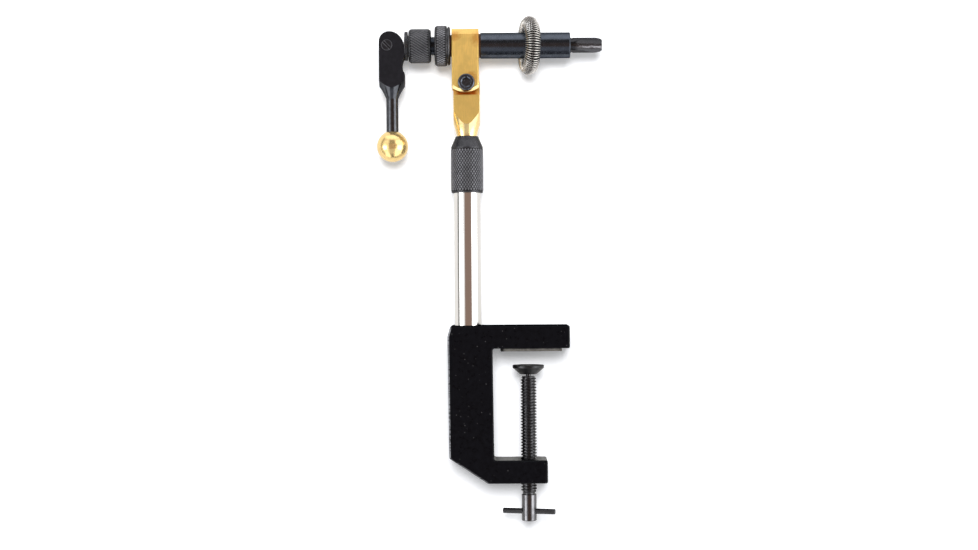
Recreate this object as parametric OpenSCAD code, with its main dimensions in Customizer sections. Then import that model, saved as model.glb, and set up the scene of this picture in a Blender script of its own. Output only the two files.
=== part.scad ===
// Fly tying vise: a C clamp carries a standing pole, and a brass stem in the pole's chuck carries
// a tilting brass head. A barrel turns in the head and holds a split jaw that a cam lever draws shut.
// Lengths are millimetres. The origin is on the clamp screw's axis, at the face of the fixed jaw pad
// that rests on the table top. +Z is up along the pole, and +X points towards the jaw.

/* [Clamp frame] */
// Thickness of the casting, across the vise
clamp_t = 19; // [16:0.5:26]
// Width of the back of the C
spine_w = 21.25; // [19:0.05:28]
// Reach of the upper arm beyond the back
arm_reach = 36.45; // [33:0.05:46]
// Height of the upper arm
arm_h = 10.85; // [9:0.05:16]
// Reach of the lower arm beyond the back
foot_reach = 25.7; // [23:0.1:30]
// Height of the lower arm
foot_h = 10.95; // [9:0.05:16]
// Opening between the two arms
throat_h = 52.65; // [48:0.05:70]
// Pole axis, measured from the back edge of the C
pole_back = 9.7; // [8.6:0.1:11]
// Clamp screw axis, measured from the pole axis
screw_reach = 28.5; // [26:0.5:31]
// Round along the edges of the casting
edge_r = 1.3; // [0.5:0.1:1.8]
// Round of the arm ends and other outer corners, seen from the side
corner_r = 1.6; // [1.6:0.1:3]
// Round of the inside corners
inside_r = 2; // [1:0.1:4]
// Width of the slope at the top of the back
crown_w = 1.4; // [1:0.1:4]
// Height of the slope at the top of the back
crown_h = 5.2; // [3:0.1:9]
// Width of the slope at the heel
heel_w = 18.7; // [12:0.1:19]
// Height of the slope at the heel
heel_h = 12; // [8:0.2:18]
// Lean of the back: its foot stands this much closer to the screw
spine_lean = 0.5; // [0:0.1:1]

/* [Jaw pad] */
// Length of the pad under the upper arm
pad_l = 29; // [20:0.5:31]
// Thickness of the pad
pad_t = 1.4; // [0.8:0.1:3]
// Width of the pad across the vise
pad_w = 16; // [10:0.5:17]
// Bare stretch between the back of the C and the pad
pad_inset = 3.75; // [1:0.05:6]

/* [Clamp screw] */
// Outer diameter of the thread
thread_d = 7.6; // [6.5:0.1:8.5]
// Length of the thread
thread_l = 56; // [50:0.1:72]
// Diameter of the plain grip below the thread
grip_d = 7.1; // [6:0.1:7.6]
// Length of the plain grip
grip_l = 12.7; // [9:0.1:20]
// Width of the groove between thread and grip
relief_w = 0.5; // [0.3:0.1:1]
// Diameter of the cross bar
bar_d = 2.6; // [2:0.1:3.5]
// Length of the cross bar
bar_l = 25.4; // [20:0.2:32]
// Height of the cross bar above the screw's lower end
bar_rise = 4.5; // [3:0.1:6]
// Turn of the cross bar away from the plane of the C, in degrees
bar_turn = -13.5; // [-90:0.5:90]

/* [Swivel pad] */
// Diameter of the pad on the screw's upper end
swivel_d = 15; // [12:0.2:18]
// Height of the pad
swivel_h = 4.35; // [4.2:0.05:7]
// Height of the pad's straight rim
swivel_rim_h = 1.3; // [0.8:0.1:2]
// Diameter of the pad's lower end
swivel_foot_d = 8.1; // [6:0.1:10]
// Opening between the two pads as shown
jaw_gap = 6.75; // [4:0.05:9]
// Diameter of the ball inside the pad
swivel_ball_d = 3.4; // [3:0.1:3.5]
// Diameter of the neck below the ball
swivel_neck_d = 2.4; // [1.8:0.1:2.5]

/* [Pole] */
// Diameter of the pole
pole_d = 12.7; // [12.2:0.1:13.3]
// Length of pole between the clamp and the lock collar
pole_free = 62.9; // [50:0.1:90]
// Length of pole inside the clamp
pole_sunk = 30; // [22:0.5:34]
// Length of pole inside the lock collar
pole_lap = 17.5; // [14:0.1:18]

/* [Lock collar] */
// Diameter of the collar
collar_d = 15.3; // [14.8:0.1:18]
// Height of the collar
collar_h = 26.9; // [25:0.1:32]
// Height of the cone at the collar's top
collar_cone_h = 5.4; // [4:0.1:6.5]
// Width of the flat lip round the collar's mouth
collar_lip = 0.5; // [0.3:0.1:0.7]

/* [Stem collet] */
// Height of the split collet above the pole
collet_h = 6.8; // [5.5:0.1:7.5]
// Width of the collet's saw cuts
collet_cut_w = 0.8; // [0.5:0.1:1.2]

/* [Stem] */
// Width of the square bar of the stem
stem_w = 12.5; // [11.6:0.1:12.6]
// Diameter of the round shank that slides in the pole
shank_d = 9.5; // [9:0.1:9.7]
// Length of the shank below the lock collar's top
shank_l = 66; // [58:0.5:76]
// Height of the bar's shoulder above the lock collar
bar_top = 19.3; // [17:0.1:30]
// Height of the tilt axis above the shoulder
tilt_rise = 5.3; // [5.2:0.1:7]
// Thickness of the tongue
tongue_t = 6; // [4:0.2:7]
// Turning radius of the flare between bar and shank
flare_r = 38.8; // [30:0.2:45]
// Lean of the flare where it meets the shank, in degrees
flare_lean = 11.3; // [8:0.1:15]

/* [Head] */
// Width of the head along the barrel
head_w = 12.8; // [12.6:0.1:14]
// Thickness of the head across the vise
head_t = 16; // [14.5:0.5:20]
// Distance the head stands back from the stem's axis
head_back = 0.5; // [0:0.1:0.6]
// Height of the head above the barrel axis
head_crown = 7.4; // [7:0.1:10]
// Height of the barrel axis above the tilt axis
barrel_rise = 18.5; // [17:0.1:24]
// Bevel along the top of the head
head_bevel = 2.8; // [1:0.1:3]
// Bevel of the head's upright edges
head_edge = 0.5; // [0.2:0.1:1]
// Radius of the round end of the two ears
ear_r = 10.6; // [9:0.1:14]
// Depth of the ears below the tilt axis
ear_drop = 4.1; // [3.8:0.1:4.2]
// Bevel round the ears' ends
ear_bevel = 1.2; // [0.5:0.1:1.5]

/* [Tilt screw] */
// Diameter of the tilt screw
tilt_d = 4.8; // [4:0.1:5]
// Diameter of its round head
tilt_head_d = 7.9; // [7:0.1:8.4]
// Height of its round head
tilt_head_h = 4.8; // [3:0.1:5]
// Width across the flats of its hexagon socket
socket_w = 4; // [3:0.1:4.5]

/* [Barrel] */
// Diameter of the barrel
barrel_d = 12.2; // [12:0.1:12.8]
// Length of the barrel in front of the head
barrel_l = 43.4; // [40:0.2:55]
// Height of the shoulder between the barrel and the journal that turns in the head
journal_step = 1.4; // [1.3:0.05:1.6]
// Height of the step between the journal and the threaded tail
tail_step = 0.2; // [0.1:0.05:0.3]
// Length of the threaded tail
tail_l = 17.1; // [15:0.1:18]
// Thickness of the fibre washer in front of the head
front_washer_t = 0.8; // [0.5:0.1:1.2]
// Width of the fibre washer's ring behind the head
rear_washer_w = 0.6; // [0.5:0.05:1]
// Thickness of the fibre washer behind the head
rear_washer_t = 0.75; // [0.5:0.05:1]

/* [Rings on the tail] */
// Diameter of the knurled drag ring
ring_d = 19.3; // [17:0.1:22]
// Length of its knurled part
ring_l = 6.2; // [5:0.1:8]
// Diameter of its smooth rim
rim_d = 18.2; // [16:0.1:21]
// Width of the groove between the knurl and the rim
rim_groove = 0.4; // [0.2:0.1:0.8]
// Thickness of its smooth rim
rim_t = 0.7; // [0.5:0.1:1.2]
// Gap between the drag ring and the adjusting knob
knob_gap = 1.9; // [1.85:0.05:2.4]
// Diameter of the adjusting knob
knob_d = 16.2; // [14:0.1:18]
// Length of the adjusting knob
knob_l = 10.5; // [9.5:0.1:14]
// Diameter of the thrust collar that the cam bears on
thrust_d = 13.7; // [12.5:0.1:15]
// Thickness of the thrust collar
thrust_t = 1.5; // [1:0.1:2.5]
// Gap between the thrust collar and the knob
thrust_gap = 0.5; // [0.3:0.1:1]
// Diameter of the thrust collar's hub inside the knob
hub_d = 10; // [9.6:0.1:11]
// Length of the hub inside the knob
hub_l = 1.9; // [1.2:0.1:2]

/* [Jaw] */
// Diameter of the jaw where it shows
jaw_d = 7.15; // [6.6:0.05:7.6]
// Length of the jaw in front of the barrel
jaw_l = 15.2; // [13:0.1:20]
// Diameter of the jaw's shank inside the barrel
jaw_shank_d = 5.8; // [5.4:0.1:6]
// Length of the jaw inside the barrel
jaw_sunk = 19.3; // [17:0.1:24]
// Length of the cone that the barrel's mouth squeezes
cone_l = 9.3; // [7:0.1:10]
// Height of the blunt tip
tip_h = 4.4; // [3:0.1:5]
// Length of the curve from the full jaw to the tip
nose_l = 4.6; // [3:0.1:7]
// Length of the flats ground on the jaw's cheeks
cheek_l = 11.8; // [8:0.1:12]
// Thickness of the jaw at its tip, across the vise
tip_t = 1.6; // [1:0.1:3]
// Width of the saw cut between the two halves
saw_w = 0.25; // [0.2:0.05:0.5]

/* [Draw rod] */
// Diameter of the draw rod
rod_d = 4; // [3.6:0.1:4.2]
// Length of the rod screwed into the jaw
rod_grip = 6.8; // [5:0.1:8]
// Diameter of the eye at the rod's end
eye_d = 7.6; // [7:0.1:8]
// Thickness of the eye
eye_t = 4.6; // [4.1:0.1:4.8]

/* [Cam lever] */
// Distance of the cam's flat from the pivot, with the jaw drawn shut
cam_shut = 8.15; // [8:0.05:9]
// Distance of the cam's top from the pivot, with the jaw let go
cam_open = 6.5; // [6.3:0.05:6.7]
// Width of the square bar of the lever
lever_w = 11.9; // [11.5:0.1:13]
// Thickness of the lever across the vise
lever_t = 11; // [10:0.2:13]
// Width of the fork's slot
fork_w = 5; // [4.9:0.1:5.4]
// Radius of the notch that clears the knob
notch_r = 6.2; // [5:0.1:8]
// Depth of the notch
notch_in = 1.15; // [0.8:0.05:2]
// Notch centre below the pivot
notch_drop = 9.3; // [9:0.1:12]
// Length from the pivot to the lower end of the flare
flare_drop = 25.1; // [22:0.1:30]
// Turning radius of the lever's flare
lever_flare_r = 24.6; // [20:0.2:30]
// Lean of the lever's flare at the handle, in degrees
lever_lean = 21; // [16:0.5:25]
// Diameter of the handle
handle_d = 5.7; // [5:0.1:6.5]
// Length from the pivot to the centre of the ball
handle_l = 48.2; // [42:0.2:70]
// Diameter of the ball
ball_d = 14.9; // [12:0.1:18]
// Diameter of the pivot screw
pivot_d = 3.5; // [3:0.1:3.8]
// Diameter of the pivot screw's head
pivot_head_d = 5.4; // [4.6:0.1:5.6]
// Turn of the pivot screw's slot, in degrees
pivot_slot_turn = 45; // [0:5:90]

/* [Spring clip] */
// Gap between the spring ring's curls and the barrel
clip_seat = 0.3; // [0.15:0.05:0.6]
// Mean radius of its curls
curl_r = 3.3; // [2.6:0.05:3.3]
// Diameter of the wire
wire_d = 0.62; // [0.5:0.02:0.64]
// Number of curls
clip_curls = 40; // [30:1:40]
// Position of the spring ring, measured from the head's front face
clip_at = 23.9; // [12:0.1:30]
// Turn of the spring ring away from square, in degrees
clip_turn = 10; // [0:0.5:14]

/* [Return spring] */
// Mean radius of the return spring inside the barrel
return_r = 2.5; // [2.45:0.05:2.55]
// Diameter of its wire
return_wire_d = 0.55; // [0.4:0.05:0.6]
// Number of its coils
return_curls = 9; // [6:1:12]
// Length of the return spring with the jaw drawn shut
return_l = 16; // [14:0.2:18]

/* [Fits] */
// Radial clearance of a shaft or thread that turns or slides
run_fit = 0.05; // [0.03:0.01:0.09]
// Gap between faces that pass each other
face_gap = 0.1; // [0.05:0.01:0.15]
// Bevel of turned edges
edge_bevel = 0.4; // [0.2:0.05:0.5]

/* [Hidden] */

// Overrun of every cut beyond the face that it opens
over = 1;
// Smoothness of turned surfaces
$fn = 96;
// Steps along a rounded corner, a bevelled edge and a cam
corner_steps = 5;
edge_steps = 4;
curve_steps = 24;
// Rings along each curl of wire, and sides of the wire
curl_rings = 8;
wire_sides = 6;

// Places along X, from the clamp screw's axis
pole_x = -screw_reach;
spine_x = pole_x - pole_back;
throat_x = spine_x + spine_w;
arm_x = throat_x + arm_reach;
foot_x = throat_x + foot_reach;
// Places along Z, from the pad's face
arm_top = pad_t + arm_h;
foot_top = pad_t - throat_h;
foot_low = foot_top - foot_h;
swivel_top = -jaw_gap;
swivel_low = swivel_top - swivel_h;
neck_l = 1;
thread_top = swivel_low - neck_l;
thread_low = thread_top - thread_l;
screw_low = thread_low - grip_l;
collar_low = arm_top + pole_free;
collar_top = collar_low + collar_h;
pole_top = collar_low + pole_lap;
shoulder_z = collar_top + bar_top;
tilt_z = shoulder_z + tilt_rise;
barrel_z = tilt_z + barrel_rise;
// Places along the barrel's axis, from the clamp screw's axis
head_rear = pole_x - head_back - head_w / 2;
head_front = head_rear + head_w;
shoulder_x = head_front + front_washer_t;
mouth_x = shoulder_x + barrel_l - front_washer_t;
washer_rear = head_rear - rear_washer_t;
ring_rear = washer_rear - rim_t - rim_groove - ring_l;
knob_front = ring_rear - knob_gap;
knob_rear = knob_front - knob_l;
thrust_front = knob_rear - thrust_gap;
thrust_rear = thrust_front - thrust_t;
tail_rear = head_rear - tail_l;
journal_rear = head_rear + face_gap;
cam_gap = 0.08;
pivot_x = thrust_rear - cam_gap - cam_shut;
jaw_rear = mouth_x - jaw_sunk;
rod_front = jaw_rear + rod_grip;
jaw_tip = mouth_x + jaw_l;
spring_rear = jaw_rear - return_l;
clip_x = head_front + clip_at;
// Bores and their mates
journal_d = barrel_d - 2 * journal_step;
tail_d = journal_d - 2 * tail_step;
shank_bore_r = shank_d / 2 + run_fit;
rod_bore_r = rod_d / 2 + run_fit;
spring_bore_r = jaw_shank_d / 2 + run_fit;
mouth_r = jaw_d / 2 + run_fit;
tail_bore_r = tail_d / 2 + run_fit;
clip_r = barrel_d / 2 + clip_seat + wire_d / 2 + curl_r;
lever_x = pivot_x + cam_shut - lever_w / 2;

// Part of a turn, in radians, that moves the cam's point of contact along its face
quarter_turn = PI / 2;
cam_fall = (cam_shut - cam_open) / quarter_turn;

// Vector helpers for outlines in the plane
function unit(v) = v / norm(v);
function left_of(v) = [-v[1], v[0]];
function turn(v, a) = [v[0] * cos(a) - v[1] * sin(a), v[0] * sin(a) + v[1] * cos(a)];
function cross2(a, b) = a[0] * b[1] - a[1] * b[0];

// An outline's corner [x, y, radius] moved inwards by d, with its radius kept concentric
function inset_corner(before, at, after, d) =
  let (e1 = unit([at[0] - before[0], at[1] - before[1]]))
  let (e2 = unit([after[0] - at[0], after[1] - at[1]]))
  let (n1 = left_of(e1), n2 = left_of(e2))
  let (shift = d * (n1 + n2) / (1 + n1 * n2))
  let (radius = cross2(e1, e2) > 0 ? at[2] - d : at[2] + d)
  [at[0] + shift[0], at[1] + shift[1], radius];

function inset_outline(corners, d) =
  let (n = len(corners))
  [for (i = [0 : n - 1]) inset_corner(corners[(i + n - 1) % n], corners[i], corners[(i + 1) % n], d)];

// The points of one rounded corner
function corner_arc(before, at, after) =
  let (p = [at[0], at[1]])
  let (u1 = unit([before[0], before[1]] - p), u2 = unit([after[0], after[1]] - p))
  let (half = acos(u1 * u2) / 2)
  let (centre = p + unit(u1 + u2) * at[2] / sin(half))
  let (start = p + u1 * at[2] / tan(half) - centre)
  let (sweep = (180 - 2 * half) * (cross2(u1, u2) > 0 ? -1 : 1))
  [for (i = [0 : corner_steps]) centre + turn(start, sweep * i / corner_steps)];

function rounded_outline(corners) =
  let (n = len(corners))
  [for (i = [0 : n - 1])
    each corner_arc(corners[(i + n - 1) % n], corners[i], corners[(i + 1) % n])];

// A C-shaped plate with a rounded outline and rounded edges, centred on the plane of its outline.
// Its flat faces are drawn as two fans of triangles: the first fan takes the corners up to the split.
module edged_plate(corners, split, hubs, thickness, round_r) {
  lower = [for (i = [0 : edge_steps])
    [round_r * (1 - sin(90 * i / edge_steps)), round_r * (1 - cos(90 * i / edge_steps)) - thickness / 2]];
  upper = [for (i = [edge_steps : -1 : 0]) [lower[i][0], -lower[i][1]]];
  layers = concat(lower, upper);
  outlines = [for (layer = layers) rounded_outline(inset_outline(corners, layer[0]))];
  count = len(outlines[0]);
  last = len(layers) - 1;
  rim = [for (k = [0 : last]) for (p = outlines[k]) [p[0], p[1], layers[k][1]]];
  centres = [for (k = [0, last]) for (hub = hubs) [hub[0], hub[1], layers[k][1]]];
  sides = [for (k = [0 : last - 1]) for (i = [0 : count - 1])
    let (j = (i + 1) % count)
    each [[k * count + i, (k + 1) * count + j, k * count + j],
      [k * count + i, (k + 1) * count + i, (k + 1) * count + j]]];
  bottom = fans(0, count, split * (corner_steps + 1), len(rim));
  top = [for (t = fans(last * count, count, split * (corner_steps + 1), len(rim) + len(hubs))) [t[0], t[2], t[1]]];
  polyhedron(concat(rim, centres), concat(sides, bottom, top), convexity = 6);
}

// Triangles from two hubs to the rim: first to the points before the split, then to those after it
function fans(from, count, split, hub) =
  concat([for (i = [0 : split - 2]) [hub, from + i, from + i + 1]],
    [for (i = [split : count - 2]) [hub + 1, from + i, from + i + 1]],
    [[hub, from + split - 1, from + split], [hub, from + split, hub + 1],
      [hub, hub + 1, from + count - 1], [hub, from + count - 1, from]]);

// A turned piece about Z, from its bore radius to its outer radius, with bevelled outer edges
module turned(bore_r, outer_r, from, to, bevel = edge_bevel) {
  rotate_extrude()
    polygon([[bore_r, from], [outer_r - bevel, from], [outer_r, from + bevel],
      [outer_r, to - bevel], [outer_r - bevel, to], [bore_r, to]]);
}

// Lays a piece that was turned about Z along the barrel's axis
module on_barrel() {
  translate([0, 0, barrel_z])
    rotate([0, 90, 0])
      children();
}

// Extrudes an outline drawn in X and Z across the vise, centred on its middle plane
module across(thickness) {
  rotate([90, 0, 0])
    linear_extrude(thickness, center = true)
      children();
}

// The profile of a flare: from a radius at height zero it leans outwards along one turned radius
function flare(start_r, lean, radius, end_r) =
  let (last = acos(cos(lean) - (end_r - start_r) / radius))
  [for (i = [0 : curve_steps])
    let (a = lean + (last - lean) * i / curve_steps)
    [start_r + radius * (cos(lean) - cos(a)), radius * (sin(a) - sin(lean))]];

module clamp_frame() {
  outline = [
    [spine_x + spine_lean, foot_low + heel_h, corner_r],
    [spine_x + heel_w, foot_low, corner_r],
    [foot_x, foot_low, corner_r],
    [foot_x, foot_top, corner_r],
    [throat_x + spine_lean, foot_top, inside_r],
    [throat_x, pad_t, inside_r],
    [arm_x, pad_t, corner_r],
    [arm_x, arm_top, corner_r],
    [spine_x + crown_w, arm_top, corner_r],
    [spine_x, arm_top - crown_h, corner_r]
  ];
  hubs = [[throat_x - 2 * edge_r, foot_top - 2 * edge_r], [throat_x - 2 * edge_r, pad_t + 2 * edge_r]];
  color([0.12, 0.12, 0.13])
    difference() {
      rotate([90, 0, 0])
        edged_plate(outline, 5, hubs, clamp_t, edge_r);
      translate([pole_x, 0, arm_top - pole_sunk])
        cylinder(h = pole_sunk + over, d = pole_d);
      translate([0, 0, foot_low - over])
        cylinder(h = foot_h + 2 * over, d = thread_d + 2 * run_fit);
    }
}

module jaw_pad() {
  color([0.42, 0.42, 0.34])
    translate([throat_x + pad_inset, -pad_w / 2, 0])
      cube([pad_l, pad_w, pad_t]);
}

// A tube that is open from end to end: the stem's shank runs down inside it
module pole() {
  color([0.8, 0.8, 0.82])
    translate([pole_x, 0, 0])
      turned(shank_bore_r, pole_d / 2, arm_top - pole_sunk, pole_top);
}

module swivel_pad() {
  socket_r = swivel_ball_d / 2 + run_fit;
  mouth_bore_r = swivel_neck_d / 2 + face_gap;
  color([0.25, 0.25, 0.27])
    difference() {
      rotate_extrude()
        polygon([[0, swivel_low], [swivel_foot_d / 2, swivel_low], [swivel_d / 2, swivel_top - swivel_rim_h],
          [swivel_d / 2, swivel_top - edge_bevel], [swivel_d / 2 - edge_bevel, swivel_top], [0, swivel_top]]);
      translate([0, 0, swivel_low + swivel_h / 2])
        sphere(r = socket_r);
      translate([0, 0, swivel_low - over])
        cylinder(h = over + swivel_h / 2, r = mouth_bore_r);
    }
}

module clamp_screw() {
  color([0.35, 0.35, 0.37])
    difference() {
      union() {
        translate([0, 0, swivel_low + swivel_h / 2])
          sphere(d = swivel_ball_d);
        translate([0, 0, thread_top])
          cylinder(h = neck_l + swivel_h / 2, d = swivel_neck_d);
        turned(0, thread_d / 2, thread_low + relief_w, thread_top);
        translate([0, 0, thread_low])
          cylinder(h = relief_w, d = grip_d - 2 * edge_bevel);
        turned(0, grip_d / 2, screw_low, thread_low);
      }
      cross_bar_place()
        cylinder(h = bar_l, d = bar_d, center = true);
    }
}

module cross_bar_place() {
  translate([0, 0, screw_low + bar_rise])
    rotate([0, 90, bar_turn])
      children();
}

module cross_bar() {
  color([0.3, 0.3, 0.32])
    cross_bar_place()
      turned(0, bar_d / 2, -bar_l / 2, bar_l / 2, edge_bevel / 2);
}

// The cone inside the collar squeezes the collet as the collar is screwed down the pole
module lock_collar() {
  wide_r = collar_d / 2;
  lip_r = shank_bore_r + collar_lip;
  seat_r = pole_d / 2 + run_fit;
  cone_top = pole_top + collet_h + face_gap;
  color([0.16, 0.16, 0.17])
    translate([pole_x, 0, 0])
      rotate_extrude()
        polygon([[seat_r, collar_low], [wide_r - edge_bevel, collar_low], [wide_r, collar_low + edge_bevel],
          [wide_r, collar_top - collar_cone_h], [lip_r, collar_top], [shank_bore_r, collar_top],
          [shank_bore_r, cone_top], [collet_tip_r + face_gap, cone_top],
          [collet_foot_r + face_gap, pole_top + face_gap], [seat_r, pole_top + face_gap]]);
}

// The collet's outer cone, from its foot on the pole to its tip under the collar's lip
collet_foot_r = pole_d / 2 - edge_bevel;
collet_tip_r = (collet_foot_r + shank_bore_r) / 2;

module stem_collet() {
  color([0.6, 0.6, 0.62])
    translate([pole_x, 0, pole_top])
      difference() {
        rotate_extrude()
          polygon([[shank_bore_r, 0], [collet_foot_r, 0], [collet_tip_r, collet_h], [shank_bore_r, collet_h]]);
        for (a = [0, 120, 240])
          rotate([0, 0, a])
            translate([0, -collet_cut_w / 2, collet_h / 4])
              cube([pole_d, collet_cut_w, collet_h]);
      }
}

// Square bar, turned to a flare and a round shank below, and cut to a tongue above
module stem() {
  bar_r = stem_w / 2 * sqrt(2) + face_gap;
  side = flare(shank_d / 2, flare_lean, flare_r, bar_r);
  color([0.85, 0.65, 0.3])
    translate([pole_x, 0, 0])
      difference() {
        union() {
          turned(0, shank_d / 2, collar_top - shank_l, collar_top + face_gap + edge_bevel);
          intersection() {
            translate([-stem_w / 2, -stem_w / 2, collar_top])
              cube([stem_w, stem_w, bar_top]);
            translate([0, 0, collar_top + face_gap])
              rotate_extrude()
                polygon(concat([[0, 0]], side, [[bar_r, bar_top], [0, bar_top]]));
          }
          translate([-stem_w / 2, -tongue_t / 2, shoulder_z])
            cube([stem_w, tongue_t, tilt_rise]);
          translate([0, 0, tilt_z])
            rotate([90, 0, 0])
              cylinder(h = tongue_t, d = stem_w, center = true);
        }
        translate([0, 0, tilt_z])
          rotate([90, 0, 0])
            cylinder(h = stem_w, d = tilt_d + 2 * run_fit, center = true);
      }
}

// Brass block with a cross bore for the barrel and two ears that straddle the stem's tongue
module head_block() {
  top_z = barrel_z + head_crown;
  low_z = tilt_z - ear_drop;
  half_t = head_t / 2;
  ear_z = low_z + ear_r;
  roof_z = tilt_z + stem_w / 2 + 4 * face_gap;
  color([0.85, 0.65, 0.3])
    difference() {
      intersection() {
        union() {
          translate([(head_rear + head_front) / 2, 0, ear_z])
            rotate([90, 0, 0])
              turned(0, ear_r, -half_t, half_t, ear_bevel);
          translate([head_rear, -half_t, ear_z])
            cube([head_w, head_t, top_z - ear_z]);
        }
        translate([head_rear, 0, 0])
          rotate([90, 0, 90])
            linear_extrude(head_w)
              polygon([[-half_t, low_z], [half_t, low_z], [half_t, top_z - head_bevel],
                [half_t - head_bevel, top_z], [head_bevel - half_t, top_z], [-half_t, top_z - head_bevel]]);
        translate([0, 0, low_z])
          linear_extrude(top_z - low_z)
            polygon([[head_rear, head_edge - half_t], [head_rear + head_edge, -half_t],
              [head_front - head_edge, -half_t], [head_front, head_edge - half_t],
              [head_front, half_t - head_edge], [head_front - head_edge, half_t],
              [head_rear + head_edge, half_t], [head_rear, half_t - head_edge]]);
      }
      translate([head_rear - over, -tongue_t / 2 - face_gap, low_z - over])
        cube([head_w + 2 * over, tongue_t + 2 * face_gap, roof_z - low_z + over]);
      on_barrel()
        translate([0, 0, head_rear - over])
          cylinder(h = head_w + 2 * over, d = journal_d + 2 * run_fit);
      translate([pole_x, 0, tilt_z])
        rotate([90, 0, 0])
          cylinder(h = head_t + 2 * over, d = tilt_d, center = true);
    }
}

// Socket screw through both ears and the tongue, with its head on the side that is seen
module tilt_screw() {
  color([0.14, 0.14, 0.16])
    translate([pole_x, 0, tilt_z])
      rotate([90, 0, 0])
        difference() {
          union() {
            turned(0, tilt_d / 2, edge_bevel - head_t / 2, head_t / 2 + edge_bevel);
            turned(0, tilt_head_d / 2, head_t / 2, head_t / 2 + tilt_head_h);
          }
          translate([0, 0, head_t / 2 + tilt_head_h / 2])
            cylinder(h = tilt_head_h, d = socket_w / cos(30), $fn = 6);
        }
}

module front_washer() {
  color([0.3, 0.18, 0.12])
    on_barrel()
      turned(journal_d / 2 + run_fit, barrel_d / 2 - edge_bevel, head_front, shoulder_x, front_washer_t / 8);
}

module rear_washer() {
  color([0.3, 0.18, 0.12])
    on_barrel()
      turned(tail_bore_r, tail_bore_r + rear_washer_w, washer_rear, head_rear, rear_washer_t / 8);
}

// Tube that turns in the head: mouth for the jaw in front, thread for ring and knob behind
module barrel() {
  color([0.13, 0.13, 0.15])
    difference() {
      on_barrel()
        rotate_extrude()
          polygon([[rod_bore_r, tail_rear], [tail_d / 2 - edge_bevel, tail_rear],
            [tail_d / 2, tail_rear + edge_bevel], [tail_d / 2, journal_rear], [journal_d / 2, journal_rear],
            [journal_d / 2, shoulder_x], [barrel_d / 2, shoulder_x], [barrel_d / 2, mouth_x - edge_bevel],
            [barrel_d / 2 - edge_bevel, mouth_x], [mouth_r, mouth_x], [spring_bore_r, mouth_x - cone_l],
            [spring_bore_r, spring_rear], [rod_bore_r, spring_rear]]);
      key_place()
        cylinder(h = barrel_d, d = key_d);
    }
}

// A pin in the barrel's wall stands in a groove of the jaw's shank, so that the jaw can't turn
key_d = 1.5;
key_in = 0.6;
key_x = jaw_rear + jaw_sunk - cone_l - 2 * key_d;

module key_place() {
  translate([key_x, jaw_shank_d / 2 - key_in, barrel_z])
    rotate([-90, 0, 0])
      children();
}

module jaw_key() {
  color([0.5, 0.5, 0.52])
    intersection() {
      key_place()
        cylinder(h = barrel_d, d = key_d);
      on_barrel()
        translate([0, 0, key_x - key_d])
          cylinder(h = 2 * key_d, d = barrel_d);
    }
}

module drag_ring() {
  outer_r = ring_d / 2;
  rim_r = rim_d / 2;
  groove_r = rim_r - 2 * rim_groove;
  knurl_front = ring_rear + ring_l;
  rim_rear = knurl_front + rim_groove;
  color([0.2, 0.2, 0.21])
    on_barrel()
      rotate_extrude()
        polygon([[tail_bore_r, ring_rear], [outer_r - edge_bevel, ring_rear], [outer_r, ring_rear + edge_bevel],
          [outer_r, knurl_front - edge_bevel], [outer_r - edge_bevel, knurl_front], [groove_r, knurl_front],
          [groove_r, rim_rear], [rim_r, rim_rear], [rim_r, washer_rear], [tail_bore_r, washer_rear]]);
}

module adjusting_knob() {
  outer_r = knob_d / 2;
  hub_bore_r = hub_d / 2 + run_fit;
  hub_stop = knob_rear + hub_l + face_gap;
  color([0.2, 0.2, 0.21])
    on_barrel()
      rotate_extrude()
        polygon([[hub_bore_r, knob_rear], [outer_r - edge_bevel, knob_rear], [outer_r, knob_rear + edge_bevel],
          [outer_r, knob_front - edge_bevel], [outer_r - edge_bevel, knob_front], [tail_bore_r, knob_front],
          [tail_bore_r, hub_stop], [hub_bore_r, hub_stop]]);
}

module thrust_collar() {
  outer_r = thrust_d / 2;
  color([0.22, 0.22, 0.23])
    on_barrel()
      rotate_extrude()
        polygon([[rod_bore_r, thrust_rear], [outer_r - edge_bevel, thrust_rear],
          [outer_r, thrust_rear + edge_bevel], [outer_r, thrust_front - edge_bevel / 2],
          [outer_r - edge_bevel / 2, thrust_front], [hub_d / 2, thrust_front],
          [hub_d / 2, knob_rear + hub_l], [rod_bore_r, knob_rear + hub_l]]);
}

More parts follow.
